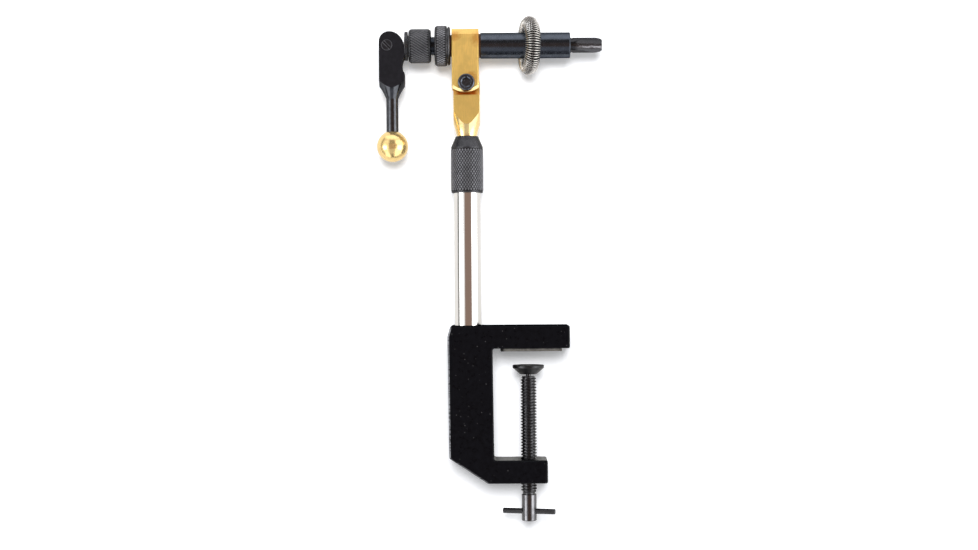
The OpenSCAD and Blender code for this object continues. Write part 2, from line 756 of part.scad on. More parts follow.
// One turned piece: a shank in the barrel, a cone in its mouth and two springy halves in front
module split_jaw() {
  full_r = jaw_d / 2;
  shank_r = jaw_shank_d / 2;
  groove_x = mouth_x + jaw_d / 16;
  groove_w = jaw_d / 10;
  cheek_x = jaw_tip - cheek_l;
  saw_x = rod_front + saw_w + face_gap;
  color([0.2, 0.2, 0.21])
    difference() {
      intersection() {
        on_barrel()
          rotate_extrude()
            polygon([[0, jaw_rear], [shank_r, jaw_rear], [shank_r, mouth_x - cone_l], [full_r, mouth_x],
              [full_r, groove_x], [full_r - groove_w / 3, groove_x], [full_r - groove_w / 3, groove_x + groove_w],
              [full_r, groove_x + groove_w], [full_r, jaw_tip], [0, jaw_tip]]);
        translate([0, 0, barrel_z])
          across(jaw_d + over)
            polygon(concat([[jaw_rear - over, -jaw_d]], jaw_nose(-1), jaw_nose(1), [[jaw_rear - over, jaw_d]]));
        translate([0, 0, barrel_z - jaw_d])
          linear_extrude(2 * jaw_d)
            polygon([[jaw_rear - over, -jaw_d], [cheek_x, -jaw_d], [cheek_x, -full_r], [jaw_tip, -tip_t / 2],
              [jaw_tip, tip_t / 2], [cheek_x, full_r], [cheek_x, jaw_d], [jaw_rear - over, jaw_d]]);
      }
      on_barrel()
        translate([0, 0, jaw_rear - over])
          cylinder(h = rod_grip + over, d = rod_d);
      translate([saw_x, -saw_w / 2, barrel_z - jaw_d])
        cube([jaw_tip - saw_x + over, saw_w, 2 * jaw_d]);
      translate([jaw_rear - over, shank_r - key_in - face_gap, barrel_z - key_d / 2 - run_fit])
        cube([key_x + key_d - jaw_rear + over, jaw_d, key_d + 2 * run_fit]);
    }
}

// Half of the jaw's outline seen from the side: it rounds from its full height to the blunt tip
function jaw_nose(way) =
  let (full_r = jaw_d / 2, drop = full_r - tip_h / 2)
  let (points = [for (i = [0 : curve_steps])
    let (a = 90 * i / curve_steps)
    [jaw_tip - nose_l + nose_l * sin(a), way * (full_r - drop * (1 - cos(a)))]])
  way < 0 ? concat([[jaw_tip - nose_l, -jaw_d]], points) : concat([for (i = [curve_steps : -1 : 0]) points[i]],
    [[jaw_tip - nose_l, jaw_d]]);

module draw_rod() {
  color([0.55, 0.55, 0.57])
    difference() {
      union() {
        on_barrel()
          turned(0, rod_d / 2, pivot_x, rod_front);
        translate([pivot_x, 0, barrel_z])
          rotate([90, 0, 0])
            cylinder(h = eye_t, d = eye_d, center = true);
      }
      translate([pivot_x, 0, barrel_z])
        rotate([90, 0, 0])
          cylinder(h = lever_t, d = pivot_d + 2 * run_fit, center = true);
    }
}

// Fork, cam and handle in one bar. The cam's face is drawn so that its distance from the pivot
// falls by the same amount for every degree, so the jaw opens evenly as the lever is raised.
module cam_lever() {
  handle_r = handle_d / 2;
  corner = norm([lever_w, lever_t]) / 2 + face_gap;
  side = flare(handle_r, lever_lean, lever_flare_r, corner);
  fork_floor = -eye_d / 2 - 4 * face_gap;
  bar_low = -flare_drop;
  color([0.11, 0.11, 0.12])
    translate([pivot_x, 0, barrel_z])
      difference() {
        union() {
          intersection() {
            across(lever_t)
              polygon(concat([[cam_shut - lever_w, bar_low], [cam_shut, bar_low]], cam_face(), cam_back()));
            translate([cam_shut - lever_w / 2, 0, -flare_drop])
              rotate_extrude()
                polygon(concat([[0, 0]], side, [[2 * lever_w, side[curve_steps][1]],
                  [2 * lever_w, flare_drop + 2 * cam_open], [0, flare_drop + 2 * cam_open]]));
          }
          translate([cam_shut - lever_w / 2, 0, -handle_l])
            cylinder(h = handle_l - flare_drop, r = handle_r);
        }
        translate([cam_shut + notch_r - notch_in, 0, -notch_drop])
          rotate([90, 0, 0])
            cylinder(h = lever_t + 2 * over, r = notch_r, center = true);
        translate([-lever_w, -fork_w / 2, fork_floor])
          cube([3 * lever_w, fork_w, 2 * lever_w]);
        rotate([90, 0, 0])
          cylinder(h = lever_t + 2 * over, d = pivot_d, center = true);
        translate([0, -lever_t / 2 + pivot_head_h, 0])
          rotate([90, 0, 0])
            cylinder(h = pivot_head_h + over, d = pivot_head_d);
      }
}

// Where a line that leans by a from upright touches the cam: its distance falls evenly with a
function cam_point(a) =
  let (reach = cam_shut - cam_fall * a * PI / 180)
  [reach * cos(a) + cam_fall * sin(a), reach * sin(a) - cam_fall * cos(a)];

function cam_face() = [for (i = [0 : curve_steps]) cam_point(90 * i / curve_steps)];

// The round back of the cam: one arc from its top to the bar's rear face
function cam_back() =
  let (r = cam_fall - cam_shut + lever_w)
  [for (i = [1 : curve_steps])
    let (a = 90 + 90 * i / curve_steps)
    [cam_fall + r * cos(a), cam_open - r + r * sin(a)]];

pivot_head_h = 1.3;

module pivot_screw() {
  slot_w = pivot_head_d / 7;
  color([0.35, 0.35, 0.38])
    translate([pivot_x, 0, barrel_z])
      rotate([90, 0, 0])
        difference() {
          union() {
            turned(0, pivot_d / 2, edge_bevel - lever_t / 2, lever_t / 2 - pivot_head_h + edge_bevel);
            turned(0, pivot_head_d / 2, lever_t / 2 - pivot_head_h, lever_t / 2, edge_bevel / 2);
          }
          rotate([0, 0, -pivot_slot_turn])
            translate([-pivot_head_d, -slot_w / 2, lever_t / 2 - pivot_head_h / 2])
              cube([2 * pivot_head_d, slot_w, pivot_head_h]);
        }
}

module lever_ball() {
  color([0.85, 0.65, 0.3])
    translate([lever_x, 0, barrel_z - handle_l])
      difference() {
        sphere(d = ball_d);
        cylinder(h = ball_d, d = handle_d);
      }
}

// A tube of wire along a list of points, each with its own outward direction
module wire(path, outward, diameter) {
  n = len(path);
  points = [for (i = [0 : n - 1])
    let (along = unit(path[min(i + 1, n - 1)] - path[max(i - 1, 0)]))
    let (side = unit(outward[i] - along * (outward[i] * along)))
    let (across = cross(along, side))
    for (k = [0 : wire_sides - 1])
      let (a = 360 * k / wire_sides)
      path[i] + diameter / 2 * (side * cos(a) + across * sin(a))];
  skin = [for (i = [0 : n - 2]) for (k = [0 : wire_sides - 1])
    let (a = i * wire_sides + k, b = i * wire_sides + (k + 1) % wire_sides)
    each [[a, b + wire_sides, b], [a, a + wire_sides, b + wire_sides]]];
  last = (n - 1) * wire_sides;
  first_end = [for (k = [1 : wire_sides - 2]) [0, k, k + 1]];
  last_end = [for (k = [1 : wire_sides - 2]) [last, last + k + 1, last + k]];
  polyhedron(points, concat(skin, first_end, last_end), convexity = 10);
}

// The spring ring is one wire, wound in curls whose axis is bent into a ring with its ends below
clip_open = 6;
clip_steps = clip_curls * curl_rings;

function clip_outward(i) =
  let (bend = -90 + clip_open / 2 + (360 - clip_open) * i / clip_steps, a = 360 * i / curl_rings)
  [sin(a), cos(a) * cos(bend), cos(a) * sin(bend)];

function clip_point(i) =
  let (bend = -90 + clip_open / 2 + (360 - clip_open) * i / clip_steps)
  clip_r * [0, cos(bend), sin(bend)] + curl_r * clip_outward(i);

clip_path = [for (i = [0 : clip_steps]) clip_point(i)];
clip_gap = min([for (i = [0 : clip_steps]) for (j = [i + curl_rings / 2 : clip_steps])
  norm(clip_path[i] - clip_path[j])]) - wire_d;
echo(least_gap_of_the_spring_clip = clip_gap);

module spring_clip() {
  color([0.7, 0.69, 0.66])
    translate([clip_x, 0, barrel_z])
      rotate([0, 0, clip_turn])
        wire(clip_path, [for (i = [0 : clip_steps]) clip_outward(i)], wire_d);
}

// The return spring pushes the jaw out of the barrel when the cam lets go
return_steps = return_curls * curl_rings;
return_run = return_l - return_wire_d - 2 * face_gap;

function return_outward(i) = [0, cos(360 * i / curl_rings), sin(360 * i / curl_rings)];

return_path = [for (i = [0 : return_steps])
  [return_run * i / return_steps, 0, 0] + return_r * return_outward(i)];
return_gap = min([for (i = [0 : return_steps]) for (j = [i + curl_rings / 2 : return_steps])
  norm(return_path[i] - return_path[j])]) - return_wire_d;
echo(least_gap_of_the_return_spring = return_gap);

module return_spring() {
  color([0.6, 0.6, 0.62])
    translate([spring_rear + return_wire_d / 2 + face_gap, 0, barrel_z])
      wire(return_path, [for (i = [0 : return_steps]) return_outward(i)], return_wire_d);
}

clamp_frame();
jaw_pad();
pole();
swivel_pad();
clamp_screw();
cross_bar();
lock_collar();
stem_collet();
stem();
head_block();
tilt_screw();
front_washer();
barrel();
jaw_key();
rear_washer();
drag_ring();
adjusting_knob();
thrust_collar();
split_jaw();
draw_rod();
return_spring();
cam_lever();
pivot_screw();
lever_ball();
spring_clip();
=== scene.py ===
"""Dresses the packed fly tying vise: every visible piece with its finish, the studio and the camera.

Shapes are worked out in millimetres in the frame of the packed model. A finished piece is brought to metres.
"""

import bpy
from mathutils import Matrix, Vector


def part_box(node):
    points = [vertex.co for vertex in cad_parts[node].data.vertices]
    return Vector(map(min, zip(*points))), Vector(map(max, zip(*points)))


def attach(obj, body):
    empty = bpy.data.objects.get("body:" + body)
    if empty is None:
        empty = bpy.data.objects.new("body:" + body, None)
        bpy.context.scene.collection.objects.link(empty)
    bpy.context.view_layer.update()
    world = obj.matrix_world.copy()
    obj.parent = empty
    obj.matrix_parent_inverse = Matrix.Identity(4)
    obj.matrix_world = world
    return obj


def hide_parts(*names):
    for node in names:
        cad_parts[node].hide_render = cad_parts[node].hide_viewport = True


bl_info = {
    "name": "Fly tying vise",
    "version": (1, 0, 0),
    "blender": (4, 5, 0),
    "location": "3D View > Sidebar > Vise",
    "description": "Builds a table-clamped fly tying vise around its packed frame",
    "category": "Object",
}

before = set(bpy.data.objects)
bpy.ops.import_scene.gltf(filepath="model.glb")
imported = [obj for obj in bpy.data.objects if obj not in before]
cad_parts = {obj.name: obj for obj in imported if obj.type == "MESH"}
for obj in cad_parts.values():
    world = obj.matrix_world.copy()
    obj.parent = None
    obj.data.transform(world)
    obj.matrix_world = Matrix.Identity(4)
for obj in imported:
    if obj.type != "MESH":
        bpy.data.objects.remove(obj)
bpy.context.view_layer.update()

import math
from types import SimpleNamespace

import bmesh
import bpy
from bpy.props import FloatProperty, FloatVectorProperty, IntProperty, PointerProperty
from mathutils import Matrix, Vector

MM = 0.001
TURN = 2 * math.pi
QUARTER = math.pi / 2
# Steps round a full turn of a turned surface, and along a rounded corner
ROUND_STEPS = 96
CORNER_STEPS = 6
# Edges that bend by more than this are drawn crisp
SHARP_ANGLE = math.radians(32)
# Clearance between pieces that turn or slide on each other, and the reach of a cutting body past its cut
FIT = 0.05
PAST = 1
# How a body drawn about Z is laid along another axis
LAID = {"Z": Matrix(), "X": Matrix.Rotation(QUARTER, 4, "Y"), "-Y": Matrix.Rotation(QUARTER, 4, "X")}


def place(node):
    """The box of a packed node in millimetres: low and high ends, centres, and half sizes."""
    low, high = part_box(node)
    low, high = Vector(low) / MM, Vector(high) / MM
    middle, half = (low + high) / 2, (high - low) / 2
    return SimpleNamespace(
        x0=low.x, y0=low.y, z0=low.z, x1=high.x, y1=high.y, z1=high.z,
        x=middle.x, y=middle.y, z=middle.z, rx=half.x, ry=half.y, rz=half.z,
    )


def tint(red, green, blue):
    """A linear colour from the 0 to 255 values that a screen shows."""
    def linear(value):
        value /= 255
        return value / 12.92 if value <= 0.04045 else ((value + 0.055) / 1.055) ** 2.4

    return (linear(red), linear(green), linear(blue))


def size(name, description, default):
    """A length property whose default is given in millimetres."""
    return FloatProperty(name=name, description=description, default=default * MM, unit="LENGTH", precision=5)


def colour(name, description, red, green, blue):
    """A colour property whose default is given in screen values."""
    return FloatVectorProperty(
        name=name, description=description, default=tint(red, green, blue), subtype="COLOR", min=0, max=1
    )


def angle(name, description, default):
    """An angle property whose default is given in degrees."""
    return FloatProperty(name=name, description=description, default=math.radians(default), unit="ROTATION")


def number(name, description, default, unit="NONE"):
    """A property that holds a plain number."""
    return FloatProperty(name=name, description=description, default=default, unit=unit)


def whole(name, description, default, least=12):
    """A property that holds a count."""
    return IntProperty(name=name, description=description, default=default, min=least)


class CastingSizes(bpy.types.PropertyGroup):
    """Sizes of the cast C"""

    back: size("Back", "Width of the back of the C", 21.25)
    lean: size("Lean", "Distance the foot of the back stands closer to the screw", 0.5)
    foot: size("Foot", "Height of the lower arm", 10.95)
    foot_short: size("Foot's shortness", "Distance the foot ends before the upper arm does", 10.75)
    crown_width: size("Crown width", "Width of the slope at the top of the back", 1.4)
    crown_height: size("Crown height", "Height of the slope at the top of the back", 5.2)
    heel_width: size("Heel width", "Width of the slope at the heel", 18.7)
    heel_height: size("Heel height", "Height of the slope at the heel", 12)
    corner: size("Corner round", "Round of the outer corners", 1.6)
    inside: size("Inside round", "Round of the inner corners", 1)
    end: size("End round", "Round of the corners at the arms' ends", 0.95)
    edge: size("Edge round", "Round along the edges", 0.9)


class ScrewSizes(bpy.types.PropertyGroup):
    """Sizes of the clamp screw and its pads"""

    pitch: size("Pitch", "Pitch of the clamp screw's thread", 1.411)
    depth: size("Thread depth", "Depth of the clamp screw's thread", 0.78)
    grip: size("Grip", "Diameter of the plain grip", 7.1)
    grip_length: size("Grip length", "Length of the plain grip", 12.7)
    relief: size("Relief", "Width of the groove between thread and grip", 0.5)
    neck: size("Neck", "Diameter of the neck under the swivel pad", 2.4)
    neck_length: size("Neck length", "Length of the neck that shows", 1)
    bar_rise: size("Bar height", "Height of the cross bar above the screw's lower end", 4.5)
    bar: size("Bar", "Diameter of the cross bar", 2.6)
    bar_length: size("Bar length", "Length of the cross bar", 25.4)
    bar_turn: angle("Bar turn", "Turn of the cross bar away from the plane of the C", -13.5)
    rim: size("Rim", "Height of the swivel pad's straight rim", 1.3)
    foot: size("Foot", "Diameter of the swivel pad's lower end", 8.1)
    dish: size("Dish", "Depth of the swivel pad's dish", 0.35)


class KnurlSizes(bpy.types.PropertyGroup):
    """Sizes of the knurls"""

    collar_count: whole("Collar", "Diamonds round the lock collar", 34)
    knob_count: whole("Knob", "Diamonds round the adjusting knob", 37)
    ring_count: whole("Ring", "Diamonds round the drag ring", 46)
    slope: number("Slope", "Half width of a diamond over its half length", 0.68)
    depth: size("Depth", "Depth of the grooves", 0.3)
    crest: number("Crest", "Share of a diamond that stays at full height", 0.5)
    long: number("Ridge length", "Share of a diamond's length along the knob's ridges", 0.8)
    thin: number("Ridge width", "Width of the knob's ridges against their length", 0.45)


class BrassSizes(bpy.types.PropertyGroup):
    """Sizes of the brass stem and head"""

    shank: size("Shank", "Diameter of the stem's round shank", 9.5)
    flare_turn: size("Flare", "Turning radius of the stem's flare", 38.8)
    flare_lean: angle("Flare lean", "Lean of the stem's flare where it meets the shank", 11.3)
    bar_top: size("Shoulder height", "Height of the stem's shoulder above the lock collar", 19.3)
    tilt_rise: size("Tilt axis", "Height of the tilt axis above the shoulder", 5.3)
    tongue: size("Tongue", "Thickness of the stem's tongue", 6)
    bevel: size("Head bevel", "Bevel along the top of the head", 2.8)
    edge: size("Head edge", "Bevel of the head's upright edges", 0.5)
    ear: size("Ear", "Radius of the round end of the ears", 10.6)
    ear_bevel: size("Ear bevel", "Bevel round the ears' ends", 1.2)
    screw: size("Tilt screw", "Diameter of the tilt screw", 4.8)
    socket: size("Socket", "Width of the tilt screw's hexagon socket", 4)
    socket_depth: size("Socket depth", "Depth of the tilt screw's socket", 2.6)
    socket_turn: angle("Socket turn", "Turn of the hexagon socket", 20.0535)


class LeverSizes(bpy.types.PropertyGroup):
    """Sizes of the cam lever"""

    shut: size("Cam, shut", "Distance of the cam's flat from the pivot", 8.15)
    opened: size("Cam, open", "Distance of the cam's top from the pivot", 6.5)
    fork: size("Fork", "Width of the fork's slot", 5)
    notch: size("Notch", "Radius of the notch that clears the knob", 6.2)
    notch_in: size("Notch depth", "Depth of the notch", 1.15)
    notch_drop: size("Notch place", "Distance of the notch below the pivot", 9.3)
    flare_drop: size("Flare place", "Distance of the flare's lower end below the pivot", 25.1)
    flare_turn: size("Flare", "Turning radius of the lever's flare", 24.6)
    flare_lean: angle("Flare lean", "Lean of the lever's flare at the handle", 21)
    handle: size("Handle", "Diameter of the handle", 5.7)
    raised: size("Ball raise", "Height of the ball above its plain solid, as in the photograph", 0.85)
    pivot: size("Pivot", "Diameter of the pivot screw", 3.5)
    head: size("Pivot head", "Diameter of the pivot screw's head", 5.4)
    head_deep: size("Pivot head depth", "Height of the pivot screw's head", 1.3)
    slot: size("Slot", "Width of the pivot screw's slot", 0.8308)
    slot_turn: angle("Slot turn", "Turn of the pivot screw's slot", 45)


class BarrelSizes(bpy.types.PropertyGroup):
    """Sizes of the barrel and the jaw"""

    journal: size("Journal", "Depth of the journal below the barrel's surface", 1.4)
    tail: size("Tail", "Diameter of the threaded tail", 9)
    tail_depth: size("Tail thread depth", "Depth of the tail's thread", 0.4)
    tail_pitch: size("Tail pitch", "Pitch of the tail's thread", 0.794)
    hub: size("Hub", "Diameter of the thrust collar's hub, which turns in the adjusting knob", 10)
    shank: size("Shank", "Diameter of the jaw's shank inside the barrel", 5.8)
    cone: size("Cone", "Length of the cone in the barrel's mouth", 9.3)
    tip: size("Tip", "Height of the blunt tip", 4.4)
    nose: size("Nose", "Length of the curve from the full jaw to the tip", 4.6)
    cheek: size("Cheek", "Length of the flats on the cheeks", 11.8)
    edge: size("Edge", "Thickness of the jaw at its tip", 1.6)
    crown: size("Crown", "Radius of the cheeks' crown", 7)
    saw: size("Saw cut", "Width of the cut between the halves", 0.25)
    rod: size("Rod", "Diameter of the draw rod", 4)
    rod_grip: size("Rod grip", "Length of the rod inside the jaw", 6.8)


class SpringSizes(bpy.types.PropertyGroup):
    """Sizes of the wound springs"""

    curls: whole("Curls", "Curls of the spring ring", 71)
    wire: size("Wire", "Diameter of the ring's wire", 0.52)
    seat: size("Seat", "Clearance between the ring and the barrel", 0.3)
    fuller: size("Fullness", "Distance the ring's curls stand out past the plain wire form", 0.37)
    turned: angle("Turn", "Turn of the spring ring away from square", 10)
    joint: angle("Joint", "Place of the ring's joint, from the back round over the top", 218)
    joint_gap: angle("Joint gap", "Opening of the ring's joint", 1.5)
    return_curls: whole("Return curls", "Curls of the return spring", 9, least=4)
    return_wire: size("Return wire", "Diameter of the return spring's wire", 0.55)


class Finishes(bpy.types.PropertyGroup):
    """Colours of the finishes"""

    casting: colour("Casting", "Black paint of the cast C", 8, 8, 11)
    pad: colour("Pad", "Plate under the upper arm", 112, 110, 106)
    steel: colour("Bright steel", "Polished pole and turned inner pieces", 226, 224, 222)
    dark: colour("Dark steel", "Clamp screw, its pad and bar", 72, 72, 74)
    knurl: colour("Knurled steel", "Blackened knurled rings and collar", 77, 77, 80)
    brass: colour("Brass", "Milled brass of the stem and head", 236, 196, 110)
    polished: colour("Polished brass", "Turned and polished brass of the ball", 250, 217, 148)
    flare: colour("Turned brass", "Bright turned brass of the stem's flare", 252, 223, 158)
    barrel: colour("Barrel", "Blackened and polished steel", 86, 91, 100)
    jaw: colour("Jaw", "Hardened steel of the jaw", 74, 74, 77)
    lever: colour("Lever", "Black of the cam lever", 21, 20, 23)
    handle: colour("Handle", "Shiny black of the lever's turned faces", 88, 90, 95)
    fibre: colour("Fibre", "Washers beside the head", 66, 36, 24)
    spring: colour("Spring wire", "Wire of the spring ring", 200, 197, 193)
    specks: colour("Specks", "Pale specks in the black paint", 66, 65, 66)
    # Painted highlight on the casting's rounded edges
    painted_edge_highlight: colour("Painted edge highlight", "Painted highlight along the casting's rounded edges", 138, 139, 143)
    # Also the colour of the painted shade beside the tilt screw
    stain: colour("Stain", "Old stain marks on the milled brass, and the painted shade beside the tilt screw", 186, 112, 36)
    # Painted shade in the gap under the ears
    shade: colour("Shade", "Painted shade in the gap under the ears", 185, 98, 24)
    # Painted highlight on the pivot screw's rim and slot edges
    painted_rim_highlight: colour("Screw highlight", "Painted highlight on the pivot screw's rim and slot edges", 82, 82, 86)


class StudioSettings(bpy.types.PropertyGroup):
    """The camera, the lamp and the background"""

    distance: size("Distance", "Distance of the camera from the vise's middle plane", 800)
    aim_x: size("Aim across", "Place of the camera along the barrel", -18.41)
    aim_z: size("Aim height", "Height of the camera", 36.1)
    roll: angle("Roll", "Roll of the camera", 0.37)
    lens: number("Lens", "Focal length of the camera, millimetres", 61.9)
    wall: size("Background", "Distance of the background behind the middle plane", 14)
    wall_wide: size("Background width", "Half width of the background", 300)
    wall_high: size("Background height", "Half height of the background", 260)
    lamp: number("Lamp", "Power of the main lamp", 24.5, unit="POWER")
    lamp_wide: size("Lamp width", "Diameter of the main lamp", 620)
    lamp_away: size("Lamp distance", "Distance of the main lamp in front of the vise", 1400)
    lamp_rise: size("Lamp height", "Height of the main lamp above the camera", 390)
    ambient: number("Ambient", "Level of the light from all sides", 0.42)
    glow: number("Glow", "Light of the background itself", 0.205)


SETTINGS = {
    "vise_casting": CastingSizes,
    "vise_screw": ScrewSizes,
    "vise_knurl": KnurlSizes,
    "vise_brass": BrassSizes,
    "vise_lever": LeverSizes,
    "vise_barrel": BarrelSizes,
    "vise_spring": SpringSizes,
    "vise_finish": Finishes,
    "vise_studio": StudioSettings,
}


def settings(name):
    """A property group's values: lengths in millimetres, the rest as they are."""
    group = getattr(bpy.context.scene, "vise_" + name)
    values = {}
    for key, prop in group.bl_rna.properties.items():
        if key not in ("rna_type", "name"):
            value = getattr(group, key)
            values[key] = value / MM if getattr(prop, "unit", "") == "LENGTH" else value
    return SimpleNamespace(**values)


# Outlines

def corner_arc(before, at, after, radius, steps=CORNER_STEPS):
    """The points of one rounded corner of an outline, or the corner itself where the radius is zero."""
    p, a, b = Vector(at), Vector(before), Vector(after)
    if radius <= 0:
        return [p]
    u, v = (a - p).normalized(), (b - p).normalized()
    half = math.acos(max(-1, min(1, u.dot(v)))) / 2
    centre = p + (u + v).normalized() * (radius / math.sin(half))
    start = p + u * (radius / math.tan(half)) - centre
    sweep = (math.pi - 2 * half) * (-1 if u.x * v.y - u.y * v.x > 0 else 1)
    return [centre + start @ Matrix.Rotation(-sweep * i / steps, 2) for i in range(steps + 1)]


def rounded(corners, steps=CORNER_STEPS):
    """A closed outline from corners of (x, y) or (x, y, radius)."""
    points = []
    for i, corner in enumerate(corners):
        before, after = corners[i - 1], corners[(i + 1) % len(corners)]
        radius = corner[2] if len(corner) > 2 else 0
        points += corner_arc(before[:2], corner[:2], after[:2], radius, steps)
    return points


def inset(corners, depth):
    """The corners of an outline moved inwards, with their radii kept concentric."""
    moved = []
    for i, corner in enumerate(corners):
        p = Vector(corner[:2])
        e = (p - Vector(corners[i - 1][:2])).normalized()
        f = (Vector(corners[(i + 1) % len(corners)][:2]) - p).normalized()
        n, m = Vector((-e.y, e.x)), Vector((-f.y, f.x))
        shift = (n + m) * depth / (1 + n.dot(m))
        convex = e.x * f.y - e.y * f.x > 0
        moved.append((p.x + shift.x, p.y + shift.y, corner[2] + (-depth if convex else depth)))
    return moved


def arc(x, y, radius, start, end, steps):
    """Points along an arc about a centre, both ends included."""
    turns = [start + (end - start) * i / steps for i in range(steps + 1)]
    return [(x + radius * math.cos(a), y + radius * math.sin(a)) for a in turns]


def flare(start, lean, radius, end, steps=28):
    """The profile of a flare: from a radius at height zero it leans outwards along one turned radius."""
    last = math.acos(math.cos(lean) - (end - start) / radius)
    out, up = math.cos(lean), math.sin(lean)
    turns = [lean + (last - lean) * i / steps for i in range(steps + 1)]
    return [(start + radius * (out - math.cos(a)), radius * (math.sin(a) - up)) for a in turns]


def rectangle(x0, y0, x1, y1, *radius):
    """The corners of a rectangle, each with the radius that is given."""
    return [(x, y, *radius) for x, y in ((x0, y0), (x1, y0), (x1, y1), (x0, y1))]


def sleeve(bore, radius, low, high, lip=0, edge=0):
    """The profile of a plain sleeve, or a pin where the bore is zero, with rounds inside and outside."""
    return [(bore, low, lip), (radius, low, edge), (radius, high, edge), (bore, high, lip)]


# Meshes, in millimetres

def new_object(name, mesh=None):
    """A new object in the scene, with an empty mesh where none is given."""
    made = bpy.data.objects.new(name, mesh or bpy.data.meshes.new(name))
    bpy.context.scene.collection.objects.link(made)
    return made


def from_bmesh(name, bm, merge=1e-5):
    """A new object from a closed body, its doubles merged and its faces outwards."""
    bmesh.ops.remove_doubles(bm, verts=bm.verts, dist=merge)
    bmesh.ops.recalc_face_normals(bm, faces=bm.faces)
    made = new_object(name)
    bm.to_mesh(made.data)
    bm.free()
    return made


def skin(bm, ring, following):
    """Faces between two closed rings. Corners that fall together are used once."""
    for i in range(len(ring)):
        j = (i + 1) % len(ring)
        corners = list(dict.fromkeys((ring[i], ring[j], following[j], following[i])))
        if len(corners) > 2 and not bm.faces.get(corners):
            bm.faces.new(corners)


def lathe(name, profile, at=(0, 0, 0), axis="Z", steps=ROUND_STEPS):
    """A turned piece: a closed profile of (radius, height), or (radius, height, round), about an axis."""
    spokes = [(math.cos(TURN * i / steps), math.sin(TURN * i / steps)) for i in range(steps)]
    bm = bmesh.new()
    rings = []
    for point in rounded(profile):
        if point.x < 1e-6:
            rings.append([bm.verts.new((0, 0, point.y))] * steps)
        else:
            rings.append([bm.verts.new((point.x * x, point.x * y, point.y)) for x, y in spokes])
    for ring, following in zip(rings, [*rings[1:], rings[0]]):
        skin(bm, ring, following)
    bm.transform(Matrix.Translation(at) @ LAID[axis])
    return from_bmesh(name, bm)


def prism(name, outline, depth, at=(0, 0, 0), across="Y"):
    """An outline extruded both ways from its plane, drawn in the two axes that it is not extruded across."""
    bm = bmesh.new()
    lay = {
        "Y": lambda p, d: (p[0], d, p[1]),
        "Z": lambda p, d: (p[0], p[1], d),
        "X": lambda p, d: (d, p[0], p[1]),
    }[across]
    sides = [[bm.verts.new(Vector(lay(p, d)) + Vector(at)) for p in outline] for d in (-depth / 2, depth / 2)]
    bm.faces.new(sides[0])
    bm.faces.new(sides[1])
    skin(bm, *sides)
    return from_bmesh(name, bm)


def block(name, low, high):
    """A plain block between two corners."""
    outline = rectangle(low[0], low[2], high[0], high[2])
    return prism(name, outline, high[1] - low[1], at=(0, (low[1] + high[1]) / 2, 0))


def rod(name, radius, start, end, steps=ROUND_STEPS):
    """A plain cylinder from one point to another."""
    start, end = Vector(start), Vector(end)
    bm = bmesh.new()
    bmesh.ops.create_cone(
        bm, cap_ends=True, segments=steps, radius1=radius, radius2=radius, depth=(end - start).length
    )
    turn = (end - start).to_track_quat("Z", "Y").to_matrix().to_4x4()
    bm.transform(Matrix.Translation((start + end) / 2) @ turn)
    return from_bmesh(name, bm)


def combine(piece, other, operation):
    """Cuts, joins or intersects a piece with another, which is used up."""
    modifier = piece.modifiers.new(operation, "BOOLEAN")
    modifier.operation = operation
    modifier.solver = "EXACT"
    modifier.object = other
    settle(piece)
    bpy.data.objects.remove(other)


def cut(piece, other):
    """Cuts a piece with another, which is used up."""
    combine(piece, other, "DIFFERENCE")


def drill(piece, radius, start, end, steps=48):
    """Cuts a round hole from one point to another."""
    cut(piece, rod("hole", radius, start, end, steps))


def settle(piece):
    """Turns a piece's modifiers into its plain mesh."""
    bpy.context.view_layer.update()
    graph = bpy.context.evaluated_depsgraph_get()
    mesh = bpy.data.meshes.new_from_object(piece.evaluated_get(graph))
    piece.modifiers.clear()
    piece.data = mesh


def join(piece, *others):
    """Adds the shells of other pieces to a piece's mesh."""
    bm = bmesh.new()
    for source in (piece, *others):
        bm.from_mesh(source.data)
    bm.to_mesh(piece.data)
    bm.free()
    for other in others:
        bpy.data.objects.remove(other)


def soften(piece, width, segments=2, limit=35):
    """Rounds the edges that bend by more than the limit, in degrees, by a small bevel."""
    modifier = piece.modifiers.new("Bevel", "BEVEL")
    modifier.width = width
    modifier.segments = segments
    modifier.limit_method = "ANGLE"
    modifier.angle_limit = math.radians(limit)
    settle(piece)


def shade(piece):
    """Smooth faces, with the edges that bend sharply drawn crisp."""
    bm = bmesh.new()
    bm.from_mesh(piece.data)
    for face in bm.faces:
        face.smooth = True
    for edge in bm.edges:
        bent = len(edge.link_faces) == 2 and edge.calc_face_angle(0) > SHARP_ANGLE
        edge.smooth = not bent
    bm.to_mesh(piece.data)
    bm.free()
    modifier = piece.modifiers.new("Weighted normals", "WEIGHTED_NORMAL")
    modifier.keep_sharp = True
    modifier.weight = 60
    settle(piece)


def finish_piece(piece, body, finish, node, flat=False, second=None):
    """Brings a piece to metres, and gives it its finish, its body and the node that it stands for."""
    marks = [face.material_index if second else 0 for face in piece.data.polygons]
    piece.data.materials.clear()
    for material in filter(None, (finish, second)):
        piece.data.materials.append(material)
    piece.data.polygons.foreach_set("material_index", marks)
    if not flat:
        shade(piece)
    piece.data.transform(Matrix.Scale(MM, 4))
    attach(piece, body)
    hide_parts(node)


def two_finishes(piece, second, belongs):
    """Gives the faces whose middle and normal pass a test the second finish."""
    piece.data.materials.append(second)
    for polygon in piece.data.polygons:
        if belongs(Vector(polygon.center) / MM, polygon.normal):
            polygon.material_index = 1


def turned_faces(below):
    """The test for faces below a height that were turned and not milled flat."""
    return lambda at, normal: at.z < below and max(abs(normal.x), abs(normal.y)) < 0.9995


# Node trees

